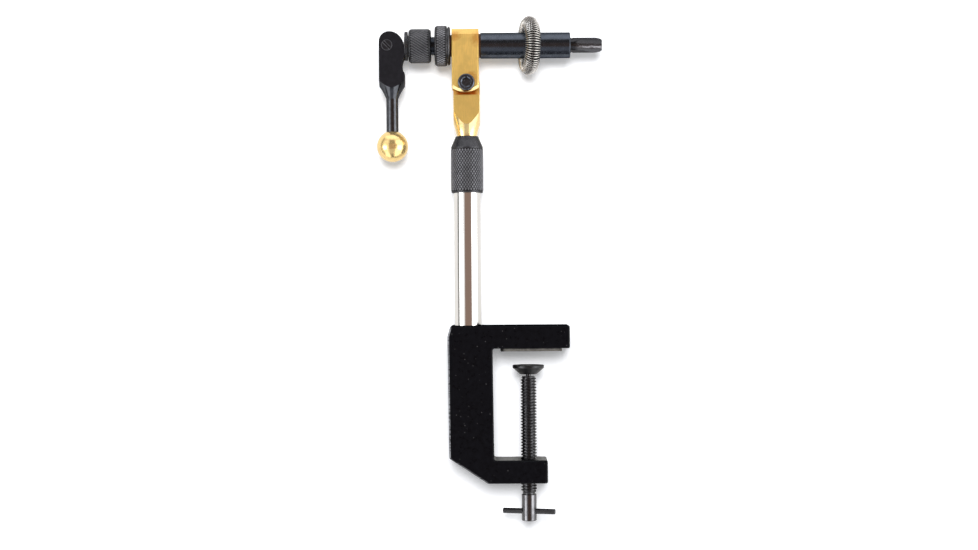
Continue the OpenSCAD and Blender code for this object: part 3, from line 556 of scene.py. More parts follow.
class Tree:
    """A node tree under construction. What goes into a node is a value, or another node's output."""

    def __init__(self, tree, empty=False):
        self.tree = tree
        if empty:
            tree.nodes.clear()

    def outputs(self, kind, inputs=None, **kept):
        """Adds a node and returns its outputs."""
        made = self.tree.nodes.new(kind)
        for key, value in kept.items():
            setattr(made, key, value)
        for key, value in (inputs or {}).items():
            if isinstance(value, bpy.types.NodeSocket):
                self.tree.links.new(value, made.inputs[key])
            else:
                made.inputs[key].default_value = value
        return made.outputs

    def node(self, kind, inputs=None, out=0, **kept):
        """Adds a node and returns one of its outputs."""
        return self.outputs(kind, inputs, **kept)[out]

    def sums(self, operation, *values):
        """A Math node."""
        return self.node("ShaderNodeMath", dict(enumerate(values)), operation=operation)

    def plus(self, first, second):
        """Two values added."""
        return self.sums("ADD", first, second)

    def less(self, first, second):
        """One value less another."""
        return self.sums("SUBTRACT", first, second)

    def times(self, first, second):
        """Two values multiplied."""
        return self.sums("MULTIPLY", first, second)

    def polar(self, radius, turn):
        """How far a point at a radius and a turn lies across and up."""
        return self.times(radius, self.sums("COSINE", turn)), self.times(radius, self.sums("SINE", turn))

    def vectors(self, operation, *values):
        """A Vector Math node. A length, a distance and a dot product come out as a number."""
        inputs = dict(zip((0, 3) if operation == "SCALE" else (0, 1), values))
        out = 1 if operation in ("LENGTH", "DISTANCE", "DOT_PRODUCT") else 0
        return self.node("ShaderNodeVectorMath", inputs, out, operation=operation)

    def vector(self, x, y, z):
        """A vector from its three parts."""
        return self.node("ShaderNodeCombineXYZ", {0: x, 1: y, 2: z})

    def parts(self, value):
        """The three parts of a vector."""
        return self.outputs("ShaderNodeSeparateXYZ", {0: value})

    def spread(self, value, low, high, to_low=0.0, to_high=1.0):
        """A value's place between two ends, eased at both."""
        inputs = {"Value": value, "From Min": low, "From Max": high, "To Min": to_low, "To Max": to_high}
        return self.node("ShaderNodeMapRange", inputs, interpolation_type="SMOOTHSTEP")

    def mix(self, share, first, second):
        """A blend of two colours."""
        first, second = (c if isinstance(c, bpy.types.NodeSocket) else (*c[:3], 1) for c in (first, second))
        return self.node("ShaderNodeMix", {0: share, 6: first, 7: second}, out=2, data_type="RGBA")


class Form(Tree):
    """A geometry node tree with named inputs, whose types follow from their defaults."""

    kinds = {int: "NodeSocketInt", float: "NodeSocketFloat", tuple: "NodeSocketVector"}

    def __init__(self, name, inputs):
        super().__init__(bpy.data.node_groups.new(name, "GeometryNodeTree"))
        face = self.tree.interface
        face.new_socket("Geometry", in_out="INPUT", socket_type="NodeSocketGeometry")
        for label, default in inputs.items():
            made = face.new_socket(label, in_out="INPUT", socket_type=self.kinds[type(default)])
            made.default_value = default
        face.new_socket("Finish", in_out="INPUT", socket_type="NodeSocketMaterial")
        face.new_socket("Geometry", in_out="OUTPUT", socket_type="NodeSocketGeometry")
        self.given = {output.name: output for output in self.outputs("NodeGroupInput")}

    def close(self, geometry, smooth=True):
        """Ends the tree in real meshes with their shading and their finish."""
        shaded = self.node("GeometryNodeSetShadeSmooth", {"Geometry": geometry, "Shade Smooth": smooth})
        real = self.node("GeometryNodeRealizeInstances", {"Geometry": shaded})
        painted = self.node("GeometryNodeSetMaterial", {"Geometry": real, "Material": self.given["Finish"]})
        self.outputs("NodeGroupOutput", {0: painted})

    def grow(self, piece, values):
        """Runs the tree on a piece with the given inputs and keeps the mesh that it makes."""
        modifier = piece.modifiers.new(self.tree.name, "NODES")
        modifier.node_group = self.tree
        for item in self.tree.interface.items_tree:
            if item.item_type == "SOCKET" and item.in_out == "INPUT" and item.name in values:
                modifier[item.identifier] = values[item.name]
        settle(piece)


def wound_wire(ring):
    """A wire wound in curls, along a straight line or bent into a ring about X."""
    form = Form("Wound ring" if ring else "Wound spring", {
        "Curls": 40, "Curl radius": 3.0, "Wire": 0.6, "Reach": 10.0, "Start": 0.0, "Sweep": TURN,
        "Steps": 14, "Sides": 8,
    })
    given = form.given
    line = form.node("GeometryNodeCurvePrimitiveLine", {"End": (1, 0, 0)})
    count = form.times(given["Curls"], given["Steps"])
    points = form.node("GeometryNodeResampleCurve", {"Curve": line, "Count": count})
    along = form.node("GeometryNodeSplineParameter")
    turned = form.times(along, form.times(given["Curls"], TURN))
    side, rise = form.polar(given["Curl radius"], turned)
    if ring:
        bend = form.plus(given["Start"], form.times(along, given["Sweep"]))
        out = form.plus(given["Reach"], side)
        spot = form.vector(rise, *form.polar(out, bend))
    else:
        spot = form.vector(form.times(along, given["Reach"]), side, rise)
    wound = form.node("GeometryNodeSetPosition", {"Geometry": points, "Position": spot})
    half = form.sums("DIVIDE", given["Wire"], 2.0)
    section = form.node("GeometryNodeCurvePrimitiveCircle", {"Resolution": given["Sides"], "Radius": half})
    wire = form.node("GeometryNodeCurveToMesh", {"Curve": wound, "Profile Curve": section, "Fill Caps": True})
    form.close(wire)
    return form


def screw_thread():
    """A screw thread about Z: a grid is laid along the helix, with its ridge fading out at both ends."""
    form = Form("Screw thread", {
        "Root radius": 3.0, "Depth": 0.7, "Pitch": 1.4, "Low": 0.0, "High": 10.0, "Around": 64, "Samples": 10,
    })
    given = form.given
    low, high, pitch = given["Low"], given["High"], given["Pitch"]
    turns = form.sums("CEIL", form.plus(form.sums("DIVIDE", form.less(high, low), pitch), 1.0))
    grid = form.node("GeometryNodeMeshGrid", {
        "Size X": 1.0, "Size Y": 1.0, "Vertices X": form.plus(given["Around"], 1.0),
        "Vertices Y": form.plus(form.times(turns, given["Samples"]), 1.0),
    })
    spot = form.parts(form.node("GeometryNodeInputPosition"))
    around = form.plus(spot[0], 0.5)
    rank = form.times(form.plus(spot[1], 0.5), turns)
    climb = form.plus(form.less(rank, 1.0), around)
    raw = form.plus(low, form.times(climb, pitch))
    height = form.sums("MINIMUM", form.sums("MAXIMUM", raw, low), high)
    wave = form.sums("ABSOLUTE", form.less(form.sums("FRACT", rank), 0.5))
    ridge = form.spread(wave, 0.08, 0.42, 1.0, 0.0)
    faded = form.times(form.spread(form.less(height, low), 0.0, pitch),
                       form.spread(form.less(high, height), 0.0, pitch))
    radius = form.plus(given["Root radius"], form.times(form.times(given["Depth"], ridge), faded))
    laid = form.vector(*form.polar(radius, form.times(around, TURN)), height)
    moved = form.node("GeometryNodeSetPosition", {"Geometry": grid, "Position": laid})
    form.close(form.node("GeometryNodeMergeByDistance", {"Geometry": moved, "Distance": 0.0005}))
    return form


def knurl():
    """Raises every marked diamond of a band, draws it in to its crest, and flattens it across one way."""
    form = Form("Knurl", {"Depth": 0.3, "Crest": 0.5, "Ridge": 1.0, "Slope": 0.68, "Axis": (0.0, 0.0, 1.0)})
    given = form.given
    tooth = form.node("GeometryNodeInputNamedAttribute", {"Name": "tooth"}, data_type="BOOLEAN")
    raised = form.outputs("GeometryNodeExtrudeMesh", {
        "Mesh": given["Geometry"], "Selection": tooth, "Offset Scale": given["Depth"], "Individual": True,
    }, mode="FACES")
    drawn = form.node("GeometryNodeScaleElements", {
        "Geometry": raised["Mesh"], "Selection": raised["Top"], "Scale": given["Crest"],
    })
    around = form.vectors("CROSS_PRODUCT", form.node("GeometryNodeInputNormal"), given["Axis"])
    across = form.vectors("ADD", around, form.vectors("SCALE", given["Axis"], given["Slope"]))
    ridged = form.node("GeometryNodeScaleElements", {
        "Geometry": drawn, "Selection": raised["Top"], "Scale": given["Ridge"], "Axis": across,
    }, scale_mode="SINGLE_AXIS")
    form.close(ridged, smooth=False)
    return form


def thread(name, finish, root, depth, pitch, low, high, axis="Z", at=(0, 0, 0)):
    """A closed threaded rod between two heights."""
    piece = new_object(name)
    screw_thread().grow(piece, {
        "Root radius": root, "Depth": depth, "Pitch": pitch, "Low": low, "High": high, "Finish": finish,
    })
    bm = bmesh.new()
    bm.from_mesh(piece.data)
    bmesh.ops.dissolve_degenerate(bm, edges=bm.edges, dist=1e-5)
    bmesh.ops.holes_fill(bm, edges=[e for e in bm.edges if e.is_boundary], sides=0)
    bmesh.ops.recalc_face_normals(bm, faces=bm.faces)
    bm.transform(Matrix.Translation(at) @ LAID[axis])
    bm.to_mesh(piece.data)
    bm.free()
    return piece


def knurled_band(name, finish, radius, low, high, count, axis="Z", at=(0, 0, 0), crest=0.5, ridge=1.0):
    """A closed ring whose outer face is cut into diamonds in staggered rows."""
    k = settings("knurl")
    floor, inner = radius - k.depth, radius - 2 * k.depth
    rows = max(4, round((high - low) / (math.pi * floor / count / k.slope)))
    bm = bmesh.new()
    tooth = bm.faces.layers.bool.new("tooth")

    def ring(reach, row):
        """The corners of one row, with every second row turned by half a diamond."""
        height = low + (high - low) * row / rows
        turns = [(i + row % 2 / 2) * TURN / count for i in range(count)]
        return [bm.verts.new((reach * math.cos(a), reach * math.sin(a), height)) for a in turns]

    rings = [ring(floor, row) for row in range(rows + 1)]
    for row in range(rows + 1):
        for i in range(count):
            left, right = rings[row][i], rings[row][(i + 1) % count]
            j = (i + row % 2) % count
            below = rings[row - 1][j] if row > 0 else None
            above = rings[row + 1][j] if row < rows else None
            corners = [v for v in (below, right, above, left) if v]
            bm.faces.new(corners)[tooth] = len(corners) == 4
    inside = [ring(inner, 0), ring(inner, rows)]
    for ring_pair in ((inside[0], rings[0]), (rings[-1], inside[1]), (inside[1], inside[0])):
        skin(bm, *ring_pair)
    bm.transform(Matrix.Translation(at) @ LAID[axis])
    band = from_bmesh(name, bm)
    knurl().grow(band, {
        "Depth": k.depth, "Crest": crest, "Ridge": ridge, "Slope": k.slope, "Finish": finish,
        "Axis": (1.0, 0.0, 0.0) if axis == "X" else (0.0, 0.0, 1.0),
    })
    band.data.polygons.foreach_set("material_index", [1] * len(band.data.polygons))
    return band


# Finishes

class Finish(Tree):
    """A material under construction. Its pattern coordinates are millimetres on the piece."""

    def __init__(self, name, base, metallic=0.0, roughness=0.5, specular=0.5, edge=1.0):
        self.material = bpy.data.materials.new(name)
        self.material.use_nodes = True
        super().__init__(self.material.node_tree)
        self.shader = self.tree.nodes["Principled BSDF"]
        plain = {
            "Base Color": (*base, 1), "Metallic": metallic, "Roughness": roughness,
            "Specular IOR Level": specular, "Specular Tint": (edge, edge, edge, 1),
        }
        for socket, value in plain.items():
            self.shader.inputs[socket].default_value = value
        where = self.node("ShaderNodeTexCoord", out="Object")
        self.place = self.node("ShaderNodeMapping", {"Vector": where, "Scale": (1 / MM,) * 3})

    def stretched(self, x, y, z):
        """The pattern coordinates, scaled along each axis."""
        return self.node("ShaderNodeMapping", {"Vector": self.place, "Scale": (x, y, z)})

    def noise(self, scale, detail=3.0, roughness=0.55, at=None):
        """Noise of a scale in waves a millimetre."""
        inputs = {"Vector": at or self.place, "Scale": scale, "Detail": detail, "Roughness": roughness}
        return self.node("ShaderNodeTexNoise", inputs)

    def cloud(self, scale, low, high, to_low=0.0, to_high=1.0, detail=3.0, at=None):
        """Noise, spread between two of its levels."""
        return self.spread(self.noise(scale, detail, at=at), low, high, to_low, to_high)

    def set(self, socket, value):
        """Feeds one of the shader's inputs."""
        self.tree.links.new(value, self.shader.inputs[socket])

    def bump(self, height, depth, strength=1.0):
        """Surface relief: the depth is in millimetres."""
        inputs = {"Height": height, "Distance": depth * MM, "Strength": strength}
        self.set("Normal", self.node("ShaderNodeBump", inputs))


def lighter(shown, factor):
    """A colour times a factor."""
    return tuple(min(1.0, c * factor) for c in shown[:3])


def casting_finish(c):
    """Glossy black paint over a cast skin, with pale specks, worn through in dashes along its back edges."""
    f = Finish("Black casting paint", c.casting, roughness=0.3, specular=0.08)
    skin = f.noise(0.5, detail=5)
    cells = f.outputs("ShaderNodeTexVoronoi", {"Vector": f.place, "Scale": 0.5, "Randomness": 1.0})
    speck_size = f.times(f.parts(cells["Color"])[0], 0.13)
    specks = f.spread(f.less(cells["Distance"], speck_size), -0.02, 0.02, 1.0, 0.0)
    base = f.mix(f.spread(skin, 0.3, 0.7), c.casting, lighter(c.casting, 1.4))
    base = f.mix(specks, base, c.specks)
    facing = f.node("ShaderNodeNewGeometry", out="Normal")
    # Painted highlight: pale strokes on the rounded edges that face left and to the front, and on the heel's
    # edge
    back = f.spread(f.vectors("DOT_PRODUCT", facing, (-0.72, -0.69, 0)), 0.74, 0.86)
    heel = f.spread(f.vectors("DOT_PRODUCT", facing, (-0.4, -0.69, -0.6)), 0.9, 0.98, 0.0, 0.5)
    highlight_dashes = f.cloud(1.5, 0.42, 0.52, 0.12, 1.0, at=f.stretched(0.3, 0.3, 1))
    f.set("Base Color", f.mix(f.times(f.sums("MAXIMUM", back, heel), highlight_dashes), base, c.painted_edge_highlight))
    above = f.spread(f.parts(f.place)[2], -2.0, 0.0)
    f.set("Specular IOR Level", f.spread(f.times(f.parts(facing)[2], above), 0.4, 0.8, 0.08, 0.0))
    f.set("Roughness", f.spread(skin, 0.3, 0.7, 0.26, 0.38))
    f.bump(f.noise(0.8), 0.08, 0.5)
    return f.material


def pad_finish(c):
    """Dull plate, blackened at its inner end."""
    f = Finish("Pad plate", c.pad, metallic=0.5, roughness=0.5)
    inner = place("jaw_pad").x0
    black = f.spread(f.parts(f.place)[0], inner + 1.2, inner + 1.7, 1.0, 0.0)
    plate = f.mix(f.cloud(0.7, 0.35, 0.65), c.pad, lighter(c.pad, 0.6))
    f.set("Base Color", f.mix(black, plate, lighter(c.casting, 0.6)))
    f.bump(f.noise(4.0), 0.03)
    return f.material


def polished_steel_finish(c):
    """Bright polished tube with faint lines along it."""
    f = Finish("Polished steel", c.steel, metallic=1.0, roughness=0.06)
    lines = f.noise(2.2, at=f.stretched(4, 4, 0.06))
    f.set("Roughness", f.spread(lines, 0.3, 0.75, 0.06, 0.13))
    f.bump(lines, 0.004, 0.6)
    return f.material


def turned_steel_finish(name, base, roughness, metallic=0.9, axis="Z"):
    """Turned steel: fine rings round the axis and a little oil staining."""
    f = Finish(name, base, metallic=metallic, roughness=roughness)
    stretch = {"Z": (0.05, 0.05, 1), "X": (1, 0.05, 0.05)}[axis]
    stain = f.cloud(0.35, 0.35, 0.7, detail=4)
    f.set("Base Color", f.mix(stain, base, lighter(base, 0.72)))
    f.set("Roughness", f.spread(stain, 0.0, 1.0, roughness * 0.8, roughness * 1.25))
    f.bump(f.noise(6.0, detail=2, at=f.stretched(*stretch)), 0.012, 0.6)
    return f.material


def blackened_finish(c):
    """Blackened turned steel beside the knurls."""
    f = Finish("Blackened steel", c.knurl, metallic=0.8, roughness=0.34, edge=0.4)
    wear = f.cloud(0.5, 0.35, 0.7, detail=5)
    f.set("Base Color", f.mix(wear, lighter(c.knurl, 1.05), lighter(c.knurl, 0.7)))
    f.set("Roughness", f.cloud(1.6, 0.3, 0.7, 0.2, 0.34))
    f.bump(f.noise(6.0, detail=2), 0.02, 0.5)
    return f.material


def knurled_finish(c, name, strength, across):
    """Knurled steel: black in its grooves, worn grey on its crests, by the distance from its axis."""
    base, k, piece = lighter(c.knurl, strength), settings("knurl"), place(name)
    f = Finish("Knurled steel, " + name, base, metallic=0.5, roughness=0.36, edge=0.4)
    offset = f.vectors("SUBTRACT", f.place, (piece.x, 0, place("barrel").z))
    reach = f.vectors("LENGTH", f.vectors("MULTIPLY", offset, across))
    radius = piece.rx if across[0] else piece.rz
    # Painted shade in the grooves, and a painted highlight on the crests on top of their wear
    high = f.spread(reach, radius - 0.9 * k.depth, radius - 0.3 * k.depth)
    crest = f.mix(f.cloud(0.35, 0.35, 0.7, detail=5), lighter(base, 3.0), lighter(base, 2.2))
    f.set("Base Color", f.mix(high, lighter(base, 0.3), crest))
    f.set("Roughness", f.cloud(1.6, 0.3, 0.7, 0.3, 0.44))
    return f.material


def milled_brass_finish(c):
    """Milled brass: upright tool streaks, stains near the top and the screw, a dark gap under the ears."""
    f = Finish("Milled brass", c.brass, metallic=0.62, roughness=0.36)
    head, screw, brass = place("head_block"), place("tilt_screw"), settings("brass")
    streak = f.noise(1.9, detail=5, roughness=0.6, at=f.stretched(1, 1, 0.12))
    fine = f.noise(9.0, at=f.stretched(1, 1, 0.05))
    base = f.mix(f.spread(streak, 0.35, 0.68), c.brass, lighter(c.brass, 0.87))
    base = f.mix(f.cloud(0.22, 0.42, 0.72, detail=4), base, lighter(c.brass, 0.84))
    ragged = f.less(f.times(f.noise(0.8, detail=5), 5.0), 2.5)
    stains_and_painted_shade = [
        (5.2, (head.x1, head.y0, head.z1 - 5)),
        (3.4, (head.x0 + 1.5, head.y0, head.z1 - 3.6)),
        # Painted shade above and to the right of the tilt screw, in the stain colour
        (3.9, (screw.x + 2.2, head.y0, screw.z + 2.6)),
    ]
    for reach, spot in stains_and_painted_shade:
        away = f.plus(f.vectors("DISTANCE", f.place, spot), ragged)
        base = f.mix(f.spread(away, 0.6, reach, 0.6, 0.0), base, c.stain)
    across, deep, height = f.parts(f.place)
    shoulder, half = place("lock_collar").z1 + brass.bar_top, brass.tongue / 2
    base = f.mix(f.spread(height, shoulder - 0.05, shoulder, 0.3, 0.0), base, lighter(c.brass, 0.6))
    # Painted shade on the tongue in the gap under the ears, fading towards the sides
    inside = f.spread(f.sums("ABSOLUTE", deep), half + 0.05, half + 0.1, 1.0, 0.0)
    gap = f.times(inside, f.spread(f.sums("ABSOLUTE", f.less(across, screw.x)), 3.4, 5.6, 1.0, 0.25))
    gap = f.times(gap, f.spread(height, shoulder - 0.05, shoulder))
    gap = f.times(gap, f.spread(height, shoulder + 2, shoulder + 3, 1.0, 0.0))
    f.set("Base Color", f.mix(gap, base, c.shade))
    f.set("Roughness", f.spread(streak, 0.3, 0.7, 0.3, 0.44))
    f.bump(f.plus(streak, f.times(fine, 0.5)), 0.02, 0.5)
    return f.material


def polished_brass_finish(name, base, metallic, roughness):
    """Turned and polished brass with soft cloudy wear."""
    f = Finish(name, base, metallic=metallic, roughness=roughness)
    f.set("Base Color", f.mix(f.cloud(0.6, 0.4, 0.75, detail=4), base, lighter(base, 0.86)))
    f.set("Roughness", f.cloud(1.5, 0.3, 0.75, roughness * 0.8, roughness * 1.4, detail=5))
    f.bump(f.noise(1.1), 0.015, 0.3)
    return f.material


def barrel_finish(c):
    """Blackened and polished steel, a little cloudy."""
    f = Finish("Blackened barrel", c.barrel, metallic=1.0, roughness=0.22, edge=0.3)
    f.set("Base Color", f.mix(f.cloud(0.4, 0.35, 0.7, detail=5), c.barrel, lighter(c.barrel, 0.8)))
    f.set("Roughness", f.cloud(1.3, 0.3, 0.7, 0.18, 0.3, detail=4))
    f.bump(f.noise(5.0, detail=2, at=f.stretched(1, 0.04, 0.04)), 0.006, 0.5)
    return f.material


def jaw_finish(c):
    """Hardened jaw steel, brushed along its length, worn bright in a streak along the lower cheek."""
    f = Finish("Jaw steel", c.jaw, metallic=1.0, roughness=0.2, edge=0.4)
    jaw, mouth = place("split_jaw"), place("barrel").x1
    brushed = f.noise(3.5, detail=4, at=f.stretched(0.08, 1, 1))
    across, _, height = f.parts(f.place)
    # Painted highlight: a wavy bright streak along the lower cheek, lighter and less metallic
    wavy = f.plus(height, f.times(f.noise(0.35), 0.8))
    away = f.sums("ABSOLUTE", f.less(wavy, jaw.z - 0.7))
    streak = f.times(f.spread(away, 0.15, 0.75, 1.0, 0.0), f.spread(across, mouth + 1.5, mouth + 8))
    streak = f.times(streak, f.spread(brushed, 0.3, 0.7, 0.6, 1.0))
    # Painted shade: the upper part of the jaw is drawn darker
    shaded = f.mix(f.spread(height, jaw.z + 0.2, jaw.z + 1.6), c.jaw, lighter(c.jaw, 0.7))
    f.set("Base Color", f.mix(streak, shaded, lighter(c.jaw, 5)))
    f.set("Metallic", f.spread(streak, 0.0, 1.0, 1.0, 0.25))
    f.set("Roughness", f.spread(brushed, 0.3, 0.7, 0.16, 0.3))
    f.bump(brushed, 0.01, 0.5)
    return f.material


def lever_flat_finish(c):
    """Matt black of the lever's milled faces."""
    f = Finish("Black lever, milled", c.lever, roughness=0.6, specular=0.12)
    f.set("Base Color", f.mix(f.cloud(0.5, 0.35, 0.7, detail=4), c.lever, lighter(c.lever, 1.4)))
    f.bump(f.noise(4.0, at=f.stretched(1, 1, 0.15)), 0.02, 0.5)
    return f.material


def lever_turned_finish(c):
    """Shiny black of the lever's turned faces."""
    f = Finish("Black lever, turned", c.handle, metallic=1.0, roughness=0.16, edge=0.35)
    f.set("Base Color", f.mix(f.cloud(0.6, 0.35, 0.7), c.handle, lighter(c.handle, 0.75)))
    f.bump(f.noise(7.0, detail=2, at=f.stretched(0.05, 0.05, 1)), 0.012, 0.6)
    return f.material


def screw_black_finish(c):
    """Black oxide of the small screws."""
    f = Finish("Black oxide", c.barrel, metallic=0.95, roughness=0.18, edge=0.5)
    cloud = f.cloud(1.2, 0.35, 0.65, detail=4)
    f.set("Base Color", f.mix(cloud, lighter(c.barrel, 0.8), lighter(c.barrel, 1.3)))
    f.bump(f.noise(5.0, detail=2), 0.012, 0.5)
    return f.material


def worn_screw_finish(c):
    """Matt black slotted screw, worn along its rim and its slot."""
    f = Finish("Black screw, worn", c.lever, roughness=0.4, specular=0.3)
    s, p = settings("lever"), place("pivot_screw")
    offset = f.vectors("MULTIPLY", f.vectors("SUBTRACT", f.place, (p.x, 0, p.z)), (1, 0, 1))
    square = (math.sin(s.slot_turn), 0, math.cos(s.slot_turn))
    across = f.sums("ABSOLUTE", f.vectors("DOT_PRODUCT", offset, square))
    lip = s.slot / 2
    # Painted highlight: a pale line beside each edge of the slot and round the rim
    line = f.times(f.spread(across, lip, lip + 0.05), f.spread(across, lip + 0.2, lip + 0.4, 1.0, 0.0))
    rim = f.spread(f.vectors("LENGTH", offset), p.rx - 0.5, p.rx - 0.3, 0.0, 0.8)
    painted_edge_highlight = f.times(f.sums("MAXIMUM", line, rim), f.cloud(1.2, 0.3, 0.6, 0.3, 1.0))
    f.set("Base Color", f.mix(painted_edge_highlight, c.lever, c.painted_rim_highlight))
    f.bump(f.noise(5.0, detail=2), 0.012, 0.5)
    return f.material


def fibre_finish(c):
    """Dark red-brown vulcanised fibre."""
    f = Finish("Vulcanised fibre", c.fibre, roughness=0.6)
    f.set("Base Color", f.mix(f.cloud(2.5, 0.3, 0.7, detail=5), c.fibre, lighter(c.fibre, 0.5)))
    f.bump(f.noise(6.0), 0.02, 0.6)
    return f.material


def spring_finish(c, ring):
    """Bright drawn wire, dark with old oil on the inside of the ring's curls."""
    f = Finish("Ring wire" if ring else "Spring wire", c.spring, metallic=1.0, roughness=0.2)
    shown = f.mix(f.cloud(0.8, 0.35, 0.7, detail=4), c.spring, lighter(c.spring, 0.72))
    if ring:
        s = settings("spring")
        reach, curl = ring_radii(s)
        offset = f.vectors("SUBTRACT", f.place, (place("spring_clip").x, 0, place("barrel").z))
        inputs = {"Vector": offset, "Angle": -s.turned}
        turned = f.node("ShaderNodeVectorRotate", inputs, rotation_type="Z_AXIS")
        middle = f.vectors("NORMALIZE", f.vectors("MULTIPLY", turned, (0, 1, 1)))
        away = f.vectors("DISTANCE", turned, f.vectors("SCALE", middle, reach))
        # Painted shade: the side of the wire that faces into the curls is drawn nearly black
        shown = f.mix(f.spread(away, curl - 0.12, curl + 0.12), lighter(c.spring, 0.03), shown)
    f.set("Base Color", shown)
    f.set("Roughness", f.cloud(3.0, 0.3, 0.7, 0.14, 0.3))
    return f.material


RECIPES = {
    "casting": casting_finish,
    "pad": pad_finish,
    "polished_steel": polished_steel_finish,
    "dark_steel": lambda c: turned_steel_finish("Dark steel", c.dark, 0.3),
    "grip_steel": lambda c: turned_steel_finish("Grip steel", lighter(c.dark, 2.2), 0.22, metallic=1.0),
    "pad_steel": lambda c: turned_steel_finish("Swivel pad steel", lighter(c.dark, 0.65), 0.42),
    "bright_steel": lambda c: turned_steel_finish(
        "Bright turned steel", lighter(c.steel, 0.6), 0.28, axis="X",
    ),
    "blackened": blackened_finish,
    "lock_collar": lambda c: knurled_finish(c, "lock_collar", 0.77, (1, 1, 0)),
    "drag_ring": lambda c: knurled_finish(c, "drag_ring", 0.79, (0, 1, 1)),
    "adjusting_knob": lambda c: knurled_finish(c, "adjusting_knob", 0.53, (0, 1, 1)),
    "brass": milled_brass_finish,
    "turned_brass": lambda c: polished_brass_finish("Turned brass", c.flare, 0.85, 0.16),
    "polished_brass": lambda c: polished_brass_finish("Polished brass", c.polished, 0.84, 0.2),
    "barrel": barrel_finish,
    "jaw": jaw_finish,
    "lever_flat": lever_flat_finish,
    "lever_turned": lever_turned_finish,
    "screw_black": screw_black_finish,
    "painted_screw_highlight": worn_screw_finish,
    "fibre": fibre_finish,
    "ring_wire": lambda c: spring_finish(c, ring=True),
    "spring": lambda c: spring_finish(c, ring=False),
}
FINISHES = {}


def finish_of(name):
    """A finish by name, made once."""
    if name not in FINISHES:
        FINISHES[name] = RECIPES[name](settings("finish"))
    return FINISHES[name]


# Pieces

def on_barrel(name, profile, steps=ROUND_STEPS):
    """A piece turned about the barrel's axis, from (radius, x) corners."""
    return lathe(name, profile, at=(0, 0, place("barrel").z), axis="X", steps=steps)


def journal_radius():
    """Radius of the barrel's journal, which turns in the head."""
    return place("barrel").rz - settings("barrel").journal


def tail_radius():
    """Radius of the barrel's threaded tail."""
    return settings("barrel").tail / 2


def ring_radii(s):
    """Radius of the spring ring and radius of its curls."""
    reach, inner = place("spring_clip").rz + s.fuller, place("barrel").rz + s.seat
    curl = (reach - inner - s.wire) / 2
    return reach - s.wire / 2 - curl, curl


def make_clamp_frame():
    """The cast C: one outline with rounded corners, its edges rounded by rings that step inwards."""
    s = settings("casting")
    c, pad, pole, screw = place("clamp_frame"), place("jaw_pad"), place("pole"), place("clamp_screw")
    throat, foot_top, foot_end = c.x0 + s.back, c.z0 + s.foot, c.x1 - s.foot_short
    corners = [
        (c.x0 + s.lean, c.z0 + s.heel_height, s.corner),
        (c.x0 + s.heel_width, c.z0, s.corner),
        (foot_end, c.z0, s.end),
        (foot_end, foot_top, s.end),
        (throat + s.lean, foot_top, s.inside),
        (throat, pad.z1, s.inside),
        (c.x1, pad.z1, s.end),
        (c.x1, c.z1, s.end),
        (c.x0 + s.crown_width, c.z1, s.corner),
        (c.x0, c.z1 - s.crown_height, s.corner),
    ]
    front = arc(s.edge, s.edge - c.ry, s.edge, -QUARTER, -2 * QUARTER, 7)
    bm = bmesh.new()
    rings = [
        [bm.verts.new((p.x, y, p.y)) for p in rounded(inset(corners, depth), steps=8)]
        for depth, y in front + [(depth, -y) for depth, y in reversed(front)]
    ]
    for ring, following in zip(rings, rings[1:]):
        skin(bm, ring, following)
    bm.faces.new(rings[0])
    bm.faces.new(rings[-1])
    piece = from_bmesh("clamp_frame_dressed", bm)
    drill(piece, pole.rx, (pole.x, 0, pole.z0), (pole.x, 0, c.z1 + PAST), ROUND_STEPS)
    drill(piece, screw.rx + FIT, (screw.x, 0, c.z0 - PAST), (screw.x, 0, foot_top + PAST), ROUND_STEPS)
    finish_piece(piece, "clamp", finish_of("casting"), "clamp_frame")


def make_jaw_pad():
    """The thin plate under the upper arm."""
    p = place("jaw_pad")
    piece = block("jaw_pad_dressed", (p.x0, p.y0, p.z0), (p.x1, p.y1, p.z1))
    soften(piece, 0.2)
    finish_piece(piece, "clamp", finish_of("pad"), "jaw_pad")


def make_pole():
    """The polished tube: its upper end shows only inside the collar."""
    p, bore = place("pole"), settings("brass").shank / 2 + FIT
    profile = sleeve(bore, p.rx, p.z0, p.z1, lip=0.2, edge=0.3)
    piece = lathe("pole_dressed", profile, at=(p.x, 0, 0), steps=128)
    finish_piece(piece, "clamp", finish_of("polished_steel"), "pole")


def make_clamp_screw():
    """The clamp screw with its ball, thread, groove and grip."""
    s, screw, pad = settings("screw"), place("clamp_screw"), place("swivel_pad")
    steel, root, undercut = finish_of("dark_steel"), screw.rx - s.depth, 0.1
    core, grip, neck, ball = root - undercut, s.grip / 2, s.neck / 2, screw.z1 - pad.z
    grip_top, thread_top, neck_top = screw.z0 + s.grip_length, pad.z0 - s.neck_length, pad.z - ball / 2
    piece = lathe("clamp_screw_dressed", [
        (0, screw.z0), (grip, screw.z0, 0.5), (grip, grip_top, 0.4), (core, grip_top),
        (core, thread_top - 0.3), (neck, thread_top), (neck, neck_top), (0, neck_top),
    ])
    along = Vector((math.cos(s.bar_turn), math.sin(s.bar_turn), 0)) * screw.rx * 2
    middle = Vector((0, 0, screw.z0 + s.bar_rise))
    drill(piece, s.bar / 2 + 0.03, middle - along, middle + along)
    end = lathe("swivel_ball", arc(0, pad.z, ball, -QUARTER, QUARTER, 16), steps=32)
    join(piece, end, thread("screw_thread", steel, root, s.depth, s.pitch, grip_top + s.relief, thread_top))
    finish_piece(piece, "screw", steel, "clamp_screw")
    two_finishes(piece, finish_of("grip_steel"), lambda at, normal: at.z < grip_top + 0.05)


